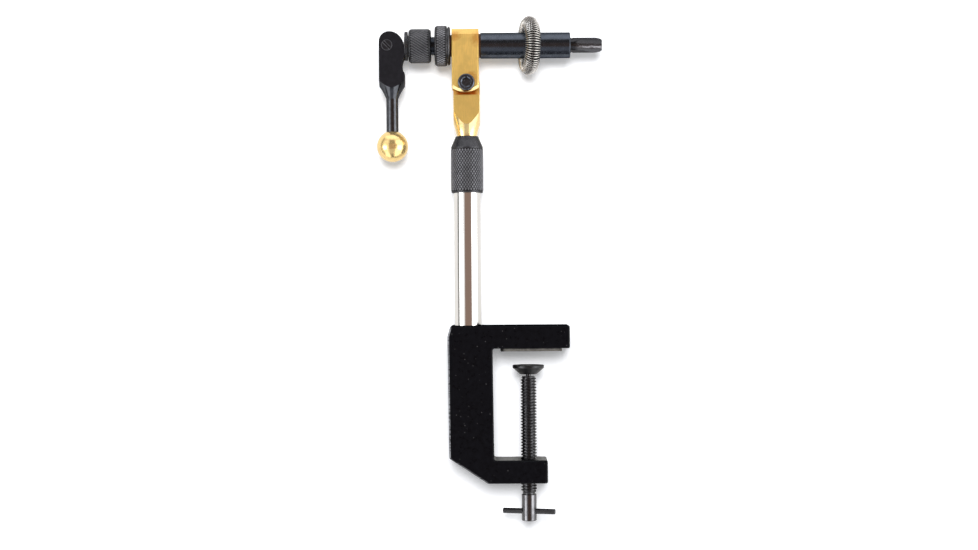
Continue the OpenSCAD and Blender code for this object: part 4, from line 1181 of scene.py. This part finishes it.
def make_cross_bar():
    """The thin bar through the grip."""
    s, screw = settings("screw"), place("clamp_screw")
    half = s.bar_length / 2
    piece = lathe("cross_bar_dressed", sleeve(0, s.bar / 2, -half, half, edge=0.45), steps=40)
    turn = Matrix.Rotation(s.bar_turn, 4, "Z") @ LAID["X"]
    piece.data.transform(Matrix.Translation((0, 0, screw.z0 + s.bar_rise)) @ turn)
    finish_piece(piece, "screw", finish_of("dark_steel"), "cross_bar")


def make_swivel_pad():
    """The dished disc on the clamp screw's ball."""
    s, pad = settings("screw"), place("swivel_pad")
    socket, neck, land, slope = place("clamp_screw").z1 - pad.z + FIT, s.neck / 2 + 0.1, 1.1, 1.1
    floor = pad.z1 - s.dish
    piece = lathe("swivel_pad_dressed", [
        (neck, pad.z0), (s.foot / 2, pad.z0, 0.3), (pad.rx, pad.z1 - s.rim, 0.25), (pad.rx, pad.z1, 0.3),
        (pad.rx - land, pad.z1, 0.3), (pad.rx - land - slope, floor, 0.6), (0, floor),
        (0, pad.z + socket), (socket * 0.7, pad.z + socket * 0.7), (socket, pad.z),
        (socket * 0.76, pad.z - socket * 0.65), (neck, pad.z - socket * 0.8),
    ])
    finish_piece(piece, "screw_pad", finish_of("pad_steel"), "swivel_pad")


def make_lock_collar():
    """The knurled sleeve on the pole's top, with its cone."""
    k, c, brass = settings("knurl"), place("lock_collar"), settings("brass")
    teeth = finish_of("lock_collar")
    bore, seat, inner_top = brass.shank / 2 + FIT, place("pole").rx + FIT, place("stem_collet").z1 + 0.1
    cone, foot, step, lip = c.z1 - 5.4, c.rx - 0.1, 0.35, 0.5
    low, high, floor = c.z0 + 0.7, cone - step, c.rx - k.depth - 0.02
    piece = lathe("lock_collar_dressed", [
        (seat, c.z0), (foot - step, c.z0), (foot, c.z0 + 0.4), (foot, low), (floor, low), (floor, high),
        (c.rx - 0.12, high), (c.rx, cone, 0.3), (bore + lip, c.z1, 0.25), (bore, c.z1), (bore, inner_top),
        (seat, inner_top),
    ])
    join(piece, knurled_band("collar_knurl", teeth, c.rx, low, high, k.collar_count, crest=k.crest))
    piece.data.transform(Matrix.Translation((c.x, 0, 0)))
    finish_piece(piece, "collar", finish_of("blackened"), "lock_collar", second=teeth)


def make_drag_ring():
    """The large knurled ring behind the head, with a groove and a smooth rim."""
    k, p, teeth = settings("knurl"), place("drag_ring"), finish_of("drag_ring")
    bore, margin, chamfer = tail_radius() + FIT, 0.75, 0.45
    rim, groove, rim_wide = p.rz - chamfer, 0.35, 1.15
    groove_floor, knurl_end = rim - 0.8, p.x1 - rim_wide - groove
    low, high, floor = p.x0 + margin, knurl_end - chamfer, p.rz - k.depth - 0.02
    piece = on_barrel("drag_ring_dressed", [
        (bore, p.x0), (p.rz - 0.9, p.x0, 0.2), (p.rz - 0.15, low - 0.1, 0.2), (floor, low),
        (floor, high), (p.rz - 0.1, high + 0.05, 0.1), (rim, knurl_end, 0.1),
        (groove_floor, knurl_end), (groove_floor, knurl_end + groove), (rim, knurl_end + groove, 0.15),
        (rim, p.x1, 0.95), (bore, p.x1),
    ], steps=128)
    at = (0, 0, place("barrel").z)
    join(piece, knurled_band("ring_knurl", teeth, p.rz, low, high, k.ring_count, "X", at, k.crest))
    finish_piece(piece, "ring", finish_of("blackened"), "drag_ring", second=teeth)


def make_adjusting_knob():
    """The smaller knurled knob on the tail."""
    k, p, teeth = settings("knurl"), place("adjusting_knob"), finish_of("adjusting_knob")
    bore, margin, bevel = tail_radius() + FIT, 0.75, 0.85
    hub_bore, hub_end = settings("barrel").hub / 2 + FIT, p.x0 + 2
    low, high, floor, shoulder = p.x0 + margin, p.x1 - margin, p.rz - k.depth - 0.02, p.rz - 0.12
    piece = on_barrel("adjusting_knob_dressed", [
        (hub_bore, p.x0), (p.rz - bevel, p.x0, 0.2), (shoulder, low - 0.1, 0.2), (floor, low),
        (floor, high), (shoulder, high + 0.1, 0.2), (p.rz - bevel, p.x1, 0.2), (bore, p.x1),
        (bore, hub_end), (hub_bore, hub_end),
    ], steps=128)
    at = (0, 0, place("barrel").z)
    join(piece, knurled_band("knob_knurl", teeth, p.rz, low, high, k.knob_count, "X", at, k.long, k.thin))
    finish_piece(piece, "knob", finish_of("blackened"), "adjusting_knob", second=teeth)


def make_thrust_collar():
    """The thin ring behind the knob that the cam bears on."""
    s, p = settings("barrel"), place("thrust_collar")
    bore, hub, face = s.rod / 2 + FIT, s.hub / 2, p.x0 + 1.5
    piece = on_barrel("thrust_collar_dressed", [
        (bore, p.x0), (p.rz, p.x0, 0.35), (p.rz, face, 0.2), (hub, face), (hub, p.x1, 0.2), (bore, p.x1),
    ])
    finish_piece(piece, "thrust", finish_of("blackened"), "thrust_collar")


def make_barrel():
    """The blackened tube that turns in the head, with its journal and threaded tail."""
    b, s, key, black = place("barrel"), settings("barrel"), place("jaw_key"), finish_of("barrel")
    journal, tail, root = journal_radius(), tail_radius(), tail_radius() - s.tail_depth
    rod_bore, bore, mouth = s.rod / 2 + FIT, s.shank / 2 + FIT, place("split_jaw").rz + FIT
    head, front, gap = place("head_block").x0, place("front_washer").x1, 0.2
    thread_start, thread_end, spring_end = b.x0 + gap, head - gap, place("return_spring").x0 - gap
    piece = on_barrel("barrel_dressed", [
        (rod_bore, b.x0), (root, b.x0), (root, thread_end), (tail, thread_end + 0.1), (tail, head + 0.1),
        (journal, head + 0.1), (journal, front), (b.rz, front, 0.25), (b.rz, b.x1, 0.45), (mouth, b.x1, 0.15),
        (bore, b.x1 - s.cone), (bore, spring_end), (rod_bore, spring_end),
    ], steps=128)
    drill(piece, key.rx, (key.x, key.y0, b.z), (key.x, b.ry + PAST, b.z), steps=40)
    at, ends = (0, 0, b.z), (thread_start, thread_end)
    screwed = thread("tail_thread", black, root, s.tail_depth, s.tail_pitch, *ends, "X", at)
    drill(screwed, rod_bore + 0.01, (b.x0 - PAST, 0, b.z), (thread_end + PAST, 0, b.z), ROUND_STEPS)
    join(piece, screwed)
    finish_piece(piece, "tube", black, "barrel")


def make_washers():
    """The fibre washers on both sides of the head, a hair clear of its turned faces."""
    front, rear, hair = place("front_washer"), place("rear_washer"), 0.04
    washers = [
        ("front_washer", "tube", journal_radius() + FIT, front.rz, front.x0 + hair, front.x1),
        ("rear_washer", "washer", tail_radius() + FIT, rear.rz, rear.x0, rear.x1 - hair),
    ]
    for name, body, *shape in washers:
        piece = on_barrel(name + "_dressed", sleeve(*shape, edge=0.15))
        finish_piece(piece, body, finish_of("fibre"), name)


def make_stem():
    """The square brass bar, turned to a flare and a round shank below and cut to a tongue above."""
    s, p, collar = settings("brass"), place("stem"), place("lock_collar")
    half, reach, shank = p.rx, p.rx * math.sqrt(2) + 0.1, s.shank / 2
    shoulder = collar.z1 + s.bar_top
    tilt = shoulder + s.tilt_rise
    side = [(r, h + collar.z1 + 0.1) for r, h in flare(shank, s.flare_lean, s.flare_turn, reach)]
    profile = [(0, p.z0), (shank, p.z0, 0.4), *side, (reach, shoulder), (0, shoulder)]
    piece = lathe("stem_dressed", profile, at=(p.x, 0, 0), steps=192)
    outline = rounded(rectangle(-half, -half, half, half, 0.25), steps=3)
    bar = prism("stem_bar", outline, shoulder - p.z0 + 2, at=(p.x, 0, (shoulder + p.z0) / 2), across="Z")
    combine(piece, bar, "INTERSECT")
    soften(piece, 0.3, limit=62)
    arch = arc(p.x, tilt, half, 0, math.pi, 32)
    sides = [(p.x - half, shoulder - PAST), (p.x + half, shoulder - PAST)]
    combine(piece, prism("stem_tongue", sides + arch, s.tongue), "UNION")
    drill(piece, s.screw / 2 + FIT, (p.x, -s.tongue, tilt), (p.x, s.tongue, tilt))
    finish_piece(piece, "post", finish_of("brass"), "stem")
    two_finishes(piece, finish_of("turned_brass"), turned_faces(shoulder - 0.5))


def make_head_block():
    """The brass block with the barrel's bore, two ears and bevelled edges."""
    s, h, barrel, tilt = settings("brass"), place("head_block"), place("barrel"), place("tilt_screw")
    ear_z, round_end, flank = h.z0 + s.ear, s.ear - s.ear_bevel, h.ry - s.ear_bevel
    piece = lathe("head_block_dressed", [
        (0, -h.ry), (round_end, -h.ry), (s.ear, -flank), (s.ear, flank), (round_end, h.ry), (0, h.ry),
    ], at=(h.x, 0, ear_z), axis="-Y", steps=160)
    wide = s.ear + PAST
    combine(piece, block("head_body", (h.x - wide, h.y0, ear_z), (h.x + wide, h.y1, h.z1)), "UNION")
    e, b, low = s.edge, s.bevel, h.z0 - PAST
    top = prism("head_top", [
        (h.y0, low), (h.y1, low), (h.y1, h.z1 - b), (h.y1 - b, h.z1), (h.y0 + b, h.z1), (h.y0, h.z1 - b),
    ], h.x1 - h.x0, at=(h.x, 0, 0), across="X")
    combine(piece, top, "INTERSECT")
    sides = prism("head_sides", [
        (h.x0, h.y0 + e), (h.x0 + e, h.y0), (h.x1 - e, h.y0), (h.x1, h.y0 + e),
        (h.x1, h.y1 - e), (h.x1 - e, h.y1), (h.x0 + e, h.y1), (h.x0, h.y1 - e),
    ], 2 * (h.z1 - h.z0), at=(0, 0, h.z), across="Z")
    combine(piece, sides, "INTERSECT")
    slot, roof = s.tongue / 2 + 0.1, tilt.z + place("stem").rx + 0.4
    cut(piece, block("head_slot", (h.x0 - PAST, -slot, low), (h.x1 + PAST, slot, roof)))
    soften(piece, 0.14)
    bore = journal_radius() + FIT
    drill(piece, bore, (h.x0 - PAST, 0, barrel.z), (h.x1 + PAST, 0, barrel.z), ROUND_STEPS)
    drill(piece, s.screw / 2, (tilt.x, h.y0 - PAST, tilt.z), (tilt.x, h.y1 + PAST, tilt.z))
    finish_piece(piece, "head", finish_of("brass"), "head_block")
    two_finishes(piece, finish_of("turned_brass"), lambda at, normal: abs(normal.y) < 0.98
                 and at.z < tilt.z + 1 and abs(at.y) > flank - 0.1)


def make_tilt_screw():
    """The socket screw through the ears."""
    s, p = settings("brass"), place("tilt_screw")
    at, high, face, shank, mouth = (p.x, 0, p.z), -p.y0, -place("head_block").y0, s.screw / 2, s.socket / 2
    piece = lathe("tilt_screw_dressed", [
        (0, -p.y1), (shank, -p.y1, 0.4), (shank, face), (p.rx, face, 0.15), (p.rx, high, 0.75), (0, high),
    ], at=at, axis="-Y")
    hexagon = arc(p.x, p.z, s.socket / math.sqrt(3), s.socket_turn, s.socket_turn + TURN, 6)[:-1]
    cut(piece, prism("socket", hexagon, 2 * s.socket_depth, at=(0, p.y0, 0)))
    lead, past = high - 0.45, high + 0.2
    cut(piece, lathe("socket_lead", [
        (0, lead), (mouth - 0.05, lead), (mouth + 0.75, past), (0, past),
    ], at=at, axis="-Y"))
    finish_piece(piece, "locking_screw", finish_of("screw_black"), "tilt_screw")


def cam_outline(s, bar, steps=40):
    """The lever's side view about its pivot: the cam's face falls evenly as it turns, its back is one arc."""
    fall = (s.shut - s.opened) / QUARTER
    points = [(s.shut - bar, -s.flare_drop), (s.shut, -s.flare_drop)]
    for i in range(steps + 1):
        a = QUARTER * i / steps
        reach = s.shut - fall * a
        points.append((reach * math.cos(a) + fall * math.sin(a), reach * math.sin(a) - fall * math.cos(a)))
    radius = fall - s.shut + bar
    return points + arc(fall, s.opened - radius, radius, QUARTER, math.pi, steps)[1:]


def make_cam_lever():
    """The forked lever: cam, notch, flare and handle in one bar."""
    s, p, barrel = settings("lever"), place("cam_lever"), place("barrel")
    bar, thick, handle = p.x1 - p.x0, p.y1 - p.y0, s.handle / 2
    pivot = Vector((p.x1 - s.shut, 0, barrel.z))
    across, seat = Vector((0, thick, 0)), Vector((pivot.x, p.y0, pivot.z))
    corner = math.hypot(bar, thick) / 2 + 0.1
    side = flare(handle, s.flare_lean, s.flare_turn, corner)
    base, wide = pivot.z - s.flare_drop, corner + 4
    flare_top = base + side[-1][1]
    outline = [(pivot.x + x, pivot.z + z) for x, z in cam_outline(s, bar)]
    piece = prism("cam_lever_dressed", outline, thick)
    notch = Vector((p.x1 + s.notch - s.notch_in, 0, pivot.z - s.notch_drop))
    drill(piece, s.notch, notch - across, notch + across, ROUND_STEPS)
    turned = lathe("lever_turning", [
        (0, base - 0.01), *[(r, base + h) for r, h in side], (wide, flare_top + 1),
        (wide, p.z1 + 2), (0, p.z1 + 2),
    ], at=(p.x, 0, 0), steps=160)
    combine(piece, turned, "INTERSECT")
    soften(piece, 0.16, limit=50)
    floor = pivot.z - place("draw_rod").rz - 0.4
    cut(piece, block("fork", (p.x0 - PAST, -s.fork / 2, floor), (p.x1 + PAST, s.fork / 2, p.z1 + PAST)))
    drill(piece, s.pivot / 2, pivot - across, pivot + across)
    drill(piece, s.head / 2, seat - Vector((0, PAST, 0)), seat + Vector((0, s.head_deep, 0)))
    combine(piece, lathe("handle", sleeve(0, handle, p.z0, base + 0.3), at=(p.x, 0, 0), steps=64), "UNION")
    finish_piece(piece, "lever", finish_of("lever_flat"), "cam_lever")
    two_finishes(piece, finish_of("lever_turned"), turned_faces(flare_top + 0.2))


def make_pivot_screw():
    """The slotted screw that holds the draw rod's eye in the fork."""
    s, p = settings("lever"), place("pivot_screw")
    face, high, shank = -p.y0 - s.head_deep, -p.y0, s.pivot / 2
    piece = lathe("pivot_screw_dressed", [
        (0, -p.y1), (shank, -p.y1, 0.35), (shank, face), (p.rx, face), (p.rx, high, 0.45), (0, high),
    ], at=(p.x, 0, p.z), axis="-Y", steps=64)
    long, deep, half = p.rx * 1.5, 0.7, s.slot / 2
    slot = block("screw_slot", (-long, -deep, -half), (long, deep, half))
    slot.data.transform(Matrix.Translation((p.x, p.y0, p.z)) @ Matrix.Rotation(s.slot_turn, 4, "Y"))
    cut(piece, slot)
    finish_piece(piece, "lever", finish_of("painted_screw_highlight"), "pivot_screw")


def make_lever_ball():
    """The brass ball at the handle's end, closed behind the flat that meets the handle."""
    p, s = place("lever_ball"), settings("lever")
    hole = s.handle / 2
    ball = arc(0, 0, p.rx, math.acos(hole / p.rx), -QUARTER, 48)
    profile = [(0, 0), (hole, 0), (hole, ball[0][1]), *ball[1:-1], (0, -p.rx)]
    piece = lathe("lever_ball_dressed", profile, at=(p.x, 0, p.z + s.raised))
    finish_piece(piece, "lever", finish_of("polished_brass"), "lever_ball")


def make_draw_rod():
    """The rod that draws the jaw, with its eye on the pivot screw."""
    p, s, lever, z = place("draw_rod"), settings("barrel"), settings("lever"), place("barrel").z
    eye, radius, pivot = p.rz, s.rod / 2, p.x0 + p.rz
    profile = sleeve(0, eye, -p.ry, p.ry, edge=0.4)
    piece = lathe("draw_rod_dressed", profile, at=(pivot, 0, z), axis="-Y", steps=64)
    profile = [(0, pivot), (radius, pivot), (radius, p.x1, 0.3), (0, p.x1)]
    shaft = on_barrel("draw_rod_shaft", profile, steps=64)
    combine(piece, shaft, "UNION")
    drill(piece, lever.pivot / 2 + FIT, (pivot, -eye, z), (pivot, eye, z))
    finish_piece(piece, "jaws", finish_of("bright_steel"), "draw_rod")


def make_split_jaw():
    """The jaw: a turned shank and cone, and two halves that round down to a blunt tip."""
    s, p, key, z = settings("barrel"), place("split_jaw"), place("jaw_key"), place("barrel").z
    full, shank, tip, mouth = p.rz, s.shank / 2, p.x1, place("barrel").x1
    groove, groove_end, groove_floor = mouth + 0.45, mouth + 1.15, full - 0.25
    piece = on_barrel("split_jaw_dressed", [
        (0, p.x0), (shank, p.x0, 0.2), (shank, mouth - s.cone), (full, mouth), (full, groove),
        (groove_floor, groove), (groove_floor, groove_end), (full, groove_end), (full, tip), (0, tip),
    ])
    start, high, steps = tip - s.nose, full + PAST, 24
    turns = [QUARTER * i / steps for i in range(steps + 1)]
    nose = [(start + s.nose * math.sin(a), full - (full - s.tip / 2) * (1 - math.cos(a))) for a in turns]
    upper = [(p.x0 - PAST, high), (start, high), *nose]
    outline = [(x, z - y) for x, y in upper] + [(x, z + y) for x, y in reversed(upper)]
    combine(piece, prism("jaw_side", outline, 2 * high), "INTERSECT")
    slope = Vector((s.cheek, full - s.edge / 2)).normalized()
    for way in (-1, 1):
        along = Vector((slope.x, -way * slope.y, 0)) * 60
        middle = Vector((tip - s.cheek, way * full, z)) - Vector((slope.y, way * slope.x, 0)) * s.crown
        combine(piece, rod("jaw_cheek", s.crown, middle - along, middle + along), "INTERSECT")
    soften(piece, 0.22, segments=3, limit=30)
    drill(piece, s.rod / 2, (p.x0 - PAST, 0, z), (p.x0 + s.rod_grip, 0, z))
    saw, saw_start = s.saw / 2, place("draw_rod").x1 + s.saw
    cut(piece, block("saw_cut", (saw_start, -saw, z - high), (tip + PAST, saw, z + high)))
    half, key_end = key.rz + FIT, key.x1 + 0.75
    cut(piece, block("key_groove", (p.x0 - PAST, key.y0 - 0.1, z - half), (key_end, high, z + half)))
    finish_piece(piece, "jaws", finish_of("jaw"), "split_jaw")


def make_spring_clip():
    """The spring wound in curls and bent into a ring, askew on the barrel."""
    s, clip, wire = settings("spring"), place("spring_clip"), finish_of("ring_wire")
    reach, curl = ring_radii(s)
    piece = new_object("spring_clip_dressed")
    wound_wire(ring=True).grow(piece, {
        "Curls": s.curls, "Curl radius": curl, "Wire": s.wire, "Reach": reach,
        "Start": s.joint + s.joint_gap / 2, "Sweep": TURN - s.joint_gap, "Finish": wire,
    })
    turn = Matrix.Rotation(s.turned, 4, "Z")
    piece.data.transform(Matrix.Translation((clip.x, 0, place("barrel").z)) @ turn)
    finish_piece(piece, "clip", wire, "spring_clip", flat=True)


def make_return_spring():
    """The spring inside the barrel that pushes the jaw out."""
    s, p, wire = settings("spring"), place("return_spring"), finish_of("spring")
    half = s.return_wire / 2
    piece = new_object("return_spring_dressed")
    wound_wire(ring=False).grow(piece, {
        "Curls": s.return_curls, "Curl radius": p.rz - half, "Wire": s.return_wire,
        "Reach": p.x1 - p.x0 - s.return_wire, "Finish": wire,
    })
    piece.data.transform(Matrix.Translation((p.x0 + half, 0, place("barrel").z)))
    finish_piece(piece, "tube", wire, "return_spring", flat=True)


def dress_inner_nodes():
    """Gives the packed pieces that stay as they are their finish."""
    for name in ("stem_collet", "jaw_key"):
        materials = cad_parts[name].data.materials
        materials.clear()
        materials.append(finish_of("bright_steel"))


# Stage

# What the lamp is turned to, near the middle of the vise, millimetres
LAMP_AIM = (-18, 0, 40)
# The background as matt pieces and the eye see it, as shiny pieces mirror it, and its own light
SHEET = (0.87, 0.88, 0.905)
SHEET_MIRRORED = (0.72, 0.71, 0.69)
SHEET_GLOW = (0.97, 0.98, 0.99)
# What shiny pieces mirror where nothing stands round them
PLAIN_SURROUNDINGS = (0.8, 0.8, 0.81)
# Soft and dark boxes that they mirror: bearing from the camera, half width, rise, half height and softness in
# degrees, and colour
SURROUNDINGS = [
    (0, 180, -50, 38, 12, (0.53, 0.53, 0.56)),
    (0, 180, -90, 30, 10, (0.08, 0.085, 0.1)),
    (-85, 50, -51, 27, 10, (1.9, 1.9, 1.9)),
    (85, 50, -51, 27, 10, (1.9, 1.9, 1.9)),
    (0, 180, 90, 40, 12, (1.45, 1.45, 1.48)),
    (-71, 46, 2, 36, 8, (1.1, 1.1, 1.1)),
    (71, 46, -10, 52, 8, (1.9, 1.9, 1.9)),
    (-58, 17, -9, 13, 6, (5.0, 5.0, 5.0)),
    (58, 17, -9, 13, 6, (5.0, 5.0, 5.0)),
    (5, 30, -2, 18, 6, (0.32, 0.22, 0.175)),
    (0, 25, 31, 16, 8, (0.15, 0.13, 0.12)),
    (-86, 13, 0, 50, 14, (0.33, 0.33, 0.32)),
]


def make_studio():
    """The camera, the main lamp, the surroundings that shiny pieces mirror, and the white background."""
    s, scene = settings("studio"), bpy.context.scene
    camera = bpy.data.objects.new("camera", bpy.data.cameras.new("camera"))
    camera.location = Vector((s.aim_x, -s.distance, s.aim_z)) * MM
    camera.rotation_euler = (QUARTER, s.roll, 0)
    camera.data.lens = s.lens
    scene.collection.objects.link(camera)
    scene.camera = camera
    scene.view_settings.view_transform = "Standard"
    make_lamp(s)
    make_background(s)
    make_surroundings(s.ambient)


def make_lamp(s):
    """One wide round lamp above the camera, turned to the vise and not mirrored in it."""
    lamp = bpy.data.lights.new("main_lamp", "AREA")
    lamp.shape = "DISK"
    lamp.size = s.lamp_wide * MM
    lamp.energy = s.lamp
    lit = bpy.data.objects.new("main_lamp", lamp)
    lit.location = Vector((s.aim_x, -s.lamp_away, s.aim_z + s.lamp_rise)) * MM
    lit.rotation_mode = "QUATERNION"
    lit.rotation_quaternion = (Vector(LAMP_AIM) * MM - lit.location).to_track_quat("-Z", "Y")
    lit.visible_glossy = False
    bpy.context.scene.collection.objects.link(lit)


def make_background(s):
    """A white sheet close behind the vise: it keeps the soft shadows, and is clear from behind."""
    wide, high = s.wall_wide, s.wall_high
    outline = rectangle(s.aim_x - wide, s.aim_z - high, s.aim_x + wide, s.aim_z + high)
    bm = bmesh.new()
    bm.faces.new([bm.verts.new(Vector((x, s.wall, z)) * MM) for x, z in outline])
    sheet = new_object("background")
    bm.to_mesh(sheet.data)
    bm.free()
    material = bpy.data.materials.new("White background")
    material.use_nodes = True
    tree = Tree(material.node_tree, empty=True)
    seen = tree.outputs("ShaderNodeLightPath")
    paper = tree.mix(seen["Is Glossy Ray"], SHEET, SHEET_MIRRORED)
    lit = tree.node("ShaderNodeBsdfDiffuse", {"Color": paper})
    strength = tree.times(seen["Is Camera Ray"], s.glow)
    glow = tree.node("ShaderNodeEmission", {"Color": (*SHEET_GLOW, 1), "Strength": strength})
    both = tree.node("ShaderNodeAddShader", {0: lit, 1: glow})
    clear = tree.node("ShaderNodeBsdfTransparent")
    behind = tree.node("ShaderNodeNewGeometry", out="Backfacing")
    tree.outputs("ShaderNodeOutputMaterial", {
        "Surface": tree.node("ShaderNodeMixShader", {0: behind, 1: both, 2: clear}),
    })
    sheet.data.materials.append(material)


def make_surroundings(ambient):
    """White to the eye, even to matt pieces, and a studio with soft boxes to shiny ones."""
    world = bpy.data.worlds.new("studio")
    bpy.context.scene.world = world
    world.use_nodes = True
    tree = Tree(world.node_tree, empty=True)
    seen = tree.outputs("ShaderNodeLightPath")
    x, y, z = tree.parts(tree.node("ShaderNodeTexCoord", out="Generated"))
    degree = math.degrees(1)
    bearing = tree.times(tree.sums("ARCTAN2", x, tree.times(y, -1.0)), degree)
    rise = tree.times(tree.sums("ARCSINE", z), degree)

    def window(value, middle, half, soft):
        """One within half a width of the middle, and nothing past its soft edge."""
        away = tree.sums("ABSOLUTE", tree.less(value, middle))
        return tree.spread(away, half - soft / 2, half + soft / 2, 1.0, 0.0)

    mirrored = PLAIN_SURROUNDINGS
    for across, wide, up, high, soft, shown in SURROUNDINGS:
        share = window(rise, up, high, soft)
        if wide < 180:
            share = tree.times(share, window(bearing, across, wide, soft))
        mirrored = tree.mix(share, mirrored, shown)
    light = tree.mix(seen["Is Glossy Ray"], (ambient,) * 3, mirrored)
    light = tree.mix(seen["Is Camera Ray"], light, (1, 1, 1))
    lamp = tree.node("ShaderNodeBackground", {"Color": light, "Strength": 1.0})
    tree.outputs("ShaderNodeOutputWorld", {"Surface": lamp})


# Operators and panel

def piece_operator(idname, label, note, build):
    """An operator class that builds one group of pieces."""
    def execute(self, context):
        build()
        return {"FINISHED"}

    return type("VISE_OT_" + idname, (bpy.types.Operator,), {
        "__doc__": note, "bl_idname": "vise." + idname, "bl_label": label, "execute": execute,
    })


OPERATORS = [piece_operator(*row) for row in (
    ("studio", "Studio", "Adds the camera, the lamp and the white background", make_studio),
    ("clamp_frame", "Clamp frame", "Builds the cast C", make_clamp_frame),
    ("jaw_pad", "Jaw pad", "Builds the plate under the upper arm", make_jaw_pad),
    ("clamp_screw", "Clamp screw", "Builds the threaded screw", make_clamp_screw),
    ("cross_bar", "Cross bar", "Builds the bar through the grip", make_cross_bar),
    ("swivel_pad", "Swivel pad", "Builds the dished disc", make_swivel_pad),
    ("pole", "Pole", "Builds the polished tube", make_pole),
    ("lock_collar", "Lock collar", "Builds the knurled collar", make_lock_collar),
    ("stem", "Stem", "Builds the brass stem", make_stem),
    ("head_block", "Head block", "Builds the brass head", make_head_block),
    ("tilt_screw", "Tilt screw", "Builds the socket screw", make_tilt_screw),
    ("barrel", "Barrel", "Builds the blackened tube", make_barrel),
    ("washers", "Washers", "Builds the fibre washers", make_washers),
    ("drag_ring", "Drag ring", "Builds the large knurled ring", make_drag_ring),
    ("adjusting_knob", "Adjusting knob", "Builds the knurled knob", make_adjusting_knob),
    ("thrust_collar", "Thrust collar", "Builds the ring that the cam bears on", make_thrust_collar),
    ("cam_lever", "Cam lever", "Builds the forked lever", make_cam_lever),
    ("pivot_screw", "Pivot screw", "Builds the slotted screw", make_pivot_screw),
    ("lever_ball", "Lever ball", "Builds the brass ball", make_lever_ball),
    ("draw_rod", "Draw rod", "Builds the rod and its eye", make_draw_rod),
    ("split_jaw", "Split jaw", "Builds the jaw", make_split_jaw),
    ("spring_clip", "Spring clip", "Winds the spring ring", make_spring_clip),
    ("return_spring", "Return spring", "Winds the spring inside the barrel", make_return_spring),
    ("inner_nodes", "Inner pieces", "Finishes the inner pieces", dress_inner_nodes),
)]


class VISE_PT_pieces(bpy.types.Panel):
    """Lists the pieces of the vise"""

    bl_idname = "VISE_PT_pieces"
    bl_label = "Fly tying vise"
    bl_space_type = "VIEW_3D"
    bl_region_type = "UI"
    bl_category = "Vise"

    def draw(self, context):
        """Lists the operators and the settings."""
        for operator in OPERATORS:
            self.layout.operator(operator.bl_idname)
        for name, group in SETTINGS.items():
            column = self.layout.column(heading=group.__doc__)
            for key in group.__annotations__:
                column.prop(getattr(context.scene, name), key)


CLASSES = [*SETTINGS.values(), *OPERATORS, VISE_PT_pieces]


def register():
    """Registers the classes and hangs the settings on the scene."""
    for made in CLASSES:
        bpy.utils.register_class(made)
    for name, group in SETTINGS.items():
        setattr(bpy.types.Scene, name, PointerProperty(type=group))


def unregister():
    """Takes the settings and the classes away."""
    for name in SETTINGS:
        delattr(bpy.types.Scene, name)
    for made in reversed(CLASSES):
        bpy.utils.unregister_class(made)


def main():
    """Builds the vise and its stage, and writes the boxes before and after."""
    register()
    for operator in OPERATORS:
        getattr(bpy.ops.vise, operator.bl_idname.split(".")[1])()


if __name__ == "__main__":
    main()
